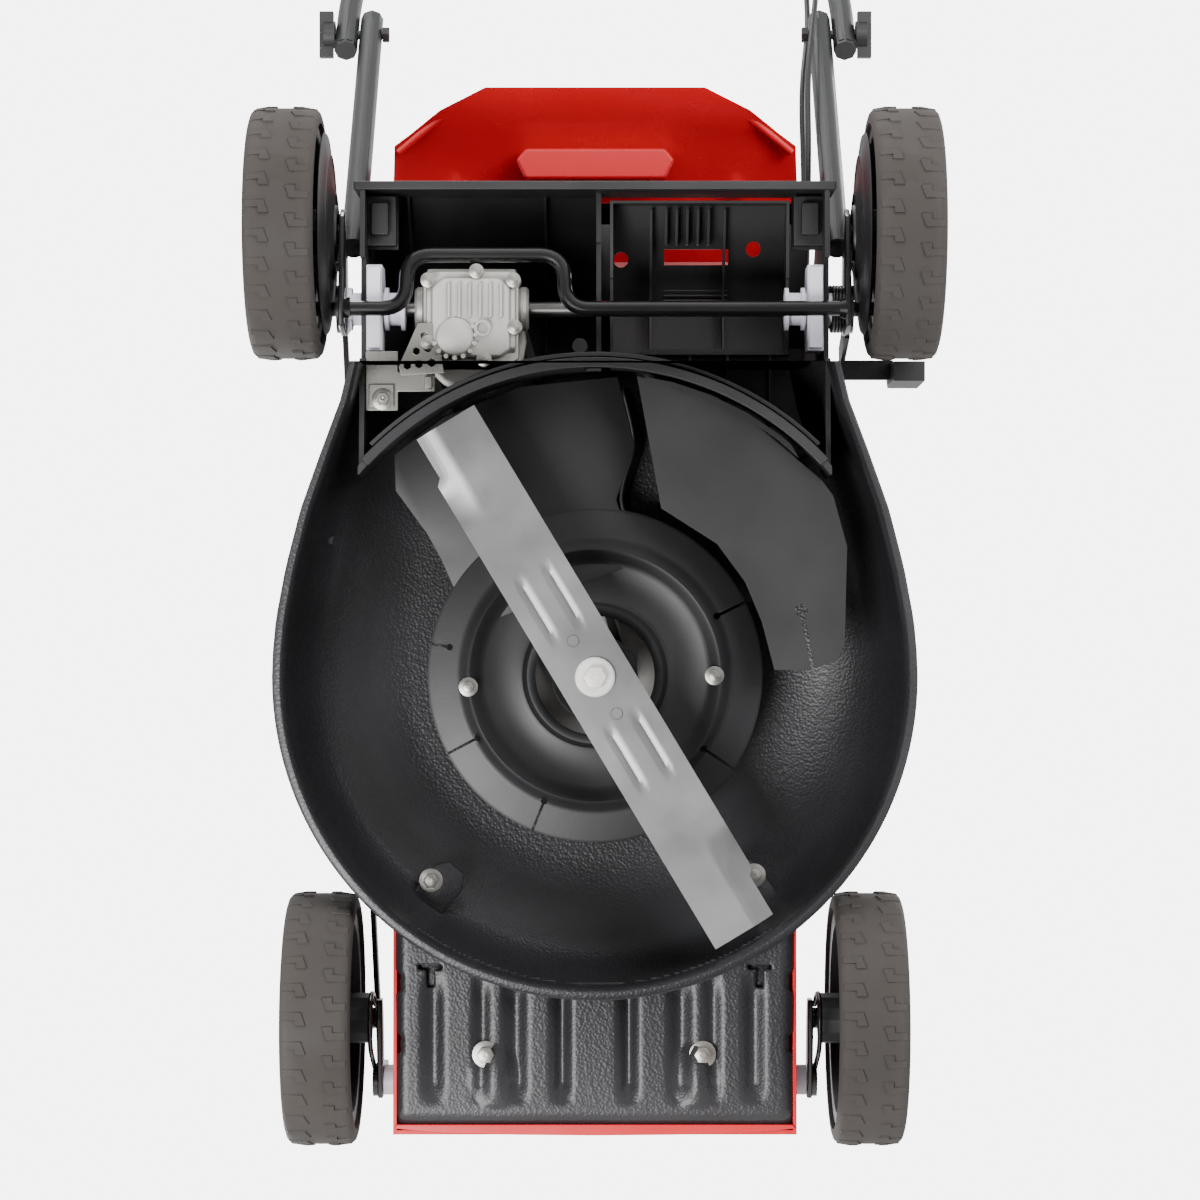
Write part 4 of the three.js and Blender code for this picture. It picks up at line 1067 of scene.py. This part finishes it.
# ------------------------------------------------------------------ crank, pulleys and belt
# A ground crankshaft carries a black hub with its pulley. A rubber V-belt under the deck turns
# the zinc plated pulley on the gearbox.
belt_rubber = polished("belt_rubber", "1D1C1B", 0.75, grain=1.2, depth=0.1)
moulded("crankshaft", 0.4, ground_steel, "crank")
moulded("blade_hub", 0.8, enamel, "crank")
moulded("input_pulley", 0.6, zinc, "gearbox_input")
moulded("drive_belt", 0.8, belt_rubber, "chassis")

# ------------------------------------------------------------------ height lever
# A pressed arm on the right of the rear axle frame, with a moulded grip that clears the wheel.
moulded("height_lever", 2.2, black_pp, "lever",
        [slab([(239, 180 + i * 9), (253, 180 + i * 9), (253, 184 + i * 9), (239, 184 + i * 9)],
              -268.8, -242.2, 0.6, "x") for i in range(6)])

# ------------------------------------------------------------------ handle
# Two lower tubes are bolted to the chassis. The upper loop folds on two winged knobs. All of it
# is 20 mm steel tube with a fine black powder coat.
powder = polished("black_powder_coat", "1B1C1D", 0.42, coat=0.25, grain=0.5, depth=0.06)
for side, word in ((1, "left"), (-1, "right")):
    foot, fold = at(side * 196, 345, 165), on_handle(side * 196, 0)
    tail = fold + (fold - foot).normalized() * 0.012
    name = "lower_tube_" + word
    shown(name, bent_tube(name, [foot, tail], 10, 0), powder, "chassis")
    moulded("lower_handle_" + word, 0.8, powder, "chassis")
    moulded("handle_knob_" + word, 2.0, black_pp, "knob_" + word)
upper_points = [on_handle(216.7, -20), on_handle(216.7, 40), on_handle(195, 300),
                on_handle(183, 880), on_handle(-183, 880), on_handle(-195, 300),
                on_handle(-216.7, 40), on_handle(-216.7, -20)]
loop_mesh = bent_tube("upper_loop", upper_points, 10, 60, sides=7)
shown("upper_loop", loop_mesh, powder, "handle")
moulded("upper_handle", 0.6, powder, "handle")
foam = polished("foam_grip", "242424", 0.9, grain=0.35, depth=0.4)
grip_mesh = bent_tube("grip_sleeve", [on_handle(150, 880), on_handle(-150, 880)], 12.6, 0, sides=7)
shown("grip_sleeve", grip_mesh, foam, "handle")
moulded("brake_bail", 0.5, powder, "brake_lever")
moulded("drive_bail", 0.5, powder, "drive_lever")
moulded("flap_hinge_rod", 0.3, zinc, "chassis")

# ------------------------------------------------------------------ engine
# An air cooled petrol engine stands on the deck: die cast crankcase and finned cylinder, a black
# moulded shroud with a recoil starter, a tank, an air filter and a plated muffler.
bolts = [hex_bolt(88 * math.cos(math.radians(a)), 88 * math.sin(math.radians(a)), 176, 9, up=1)
         for a in (45, 135, 225, 315)]
moulded("crankcase", 1.2, cast_alloy, "chassis", bolts)
moulded("cylinder", 0.5, cast_alloy, "chassis")
moulded("rocker_cover", 2.0, cast_alloy, "chassis")
moulded("spark_plug_boot", 1.2, textured_pp, "chassis")
moulded("flywheel", 0.5, cast_alloy, "crank")
moulded("blower_housing", 1.8, textured_pp, "chassis")
vents = []
for number in range(36):
    turn = math.radians(number * 10)
    rib = slab([(33, -1.2), (55, -1.2), (55, 1.2), (33, 1.2)], 343.5, 349.6, 0.4)
    bmesh.ops.rotate(rib, cent=(0, 0, 0), matrix=Matrix.Rotation(turn, 3, "Z"), verts=rib.verts)
    vents.append(rib)
vents.append(spun([(0, 347), (30, 347), (30, 351.4), (28, 352.4), (0, 352.4)], steps=64))
moulded("recoil_starter", 1.4, textured_pp, "chassis", vents)
moulded("starter_grip", 3.0, black_pp, "chassis")
tank_black = polished("tank_polyethylene", "1E1F20", 0.38, grain=1.4, depth=0.04)
moulded("fuel_tank", 5.0, tank_black, "chassis")
grips = []
for number in range(20):
    turn = math.radians(number * 18)
    grips.append(spun([(0, 303), (1.8, 303), (1.8, 315), (0, 316)],
                      centre=(48 + 27.4 * math.cos(turn), 152 + 27.4 * math.sin(turn), 0), steps=10))
moulded("fuel_cap", 1.4, black_pp, "fuel_filler", grips)
moulded("oil_cap", 1.0, red_abs, "dipstick")
louvres = [slab([(115.5, -68 + i * 13), (164, -68 + i * 13), (164, -63 + i * 13),
                 (115.5, -63 + i * 13)], 281.0, 283.6, 0.8) for i in range(6)]
moulded("air_filter_cover", 3.0, textured_pp, "chassis", louvres)
heat_tint = polished("heat_tinted_plate", "8C8378", 0.42, metal=0.9, grain=1.0, depth=0.05,
                     patchy=0.5)
louvres = [slab([(-150, -96 + i * 14), (-122, -96 + i * 14), (-122, -90 + i * 14),
                 (-150, -90 + i * 14)], 231.4, 234.2, 0.9) for i in range(5)]
moulded("muffler", 2.5, heat_tint, "chassis", louvres)
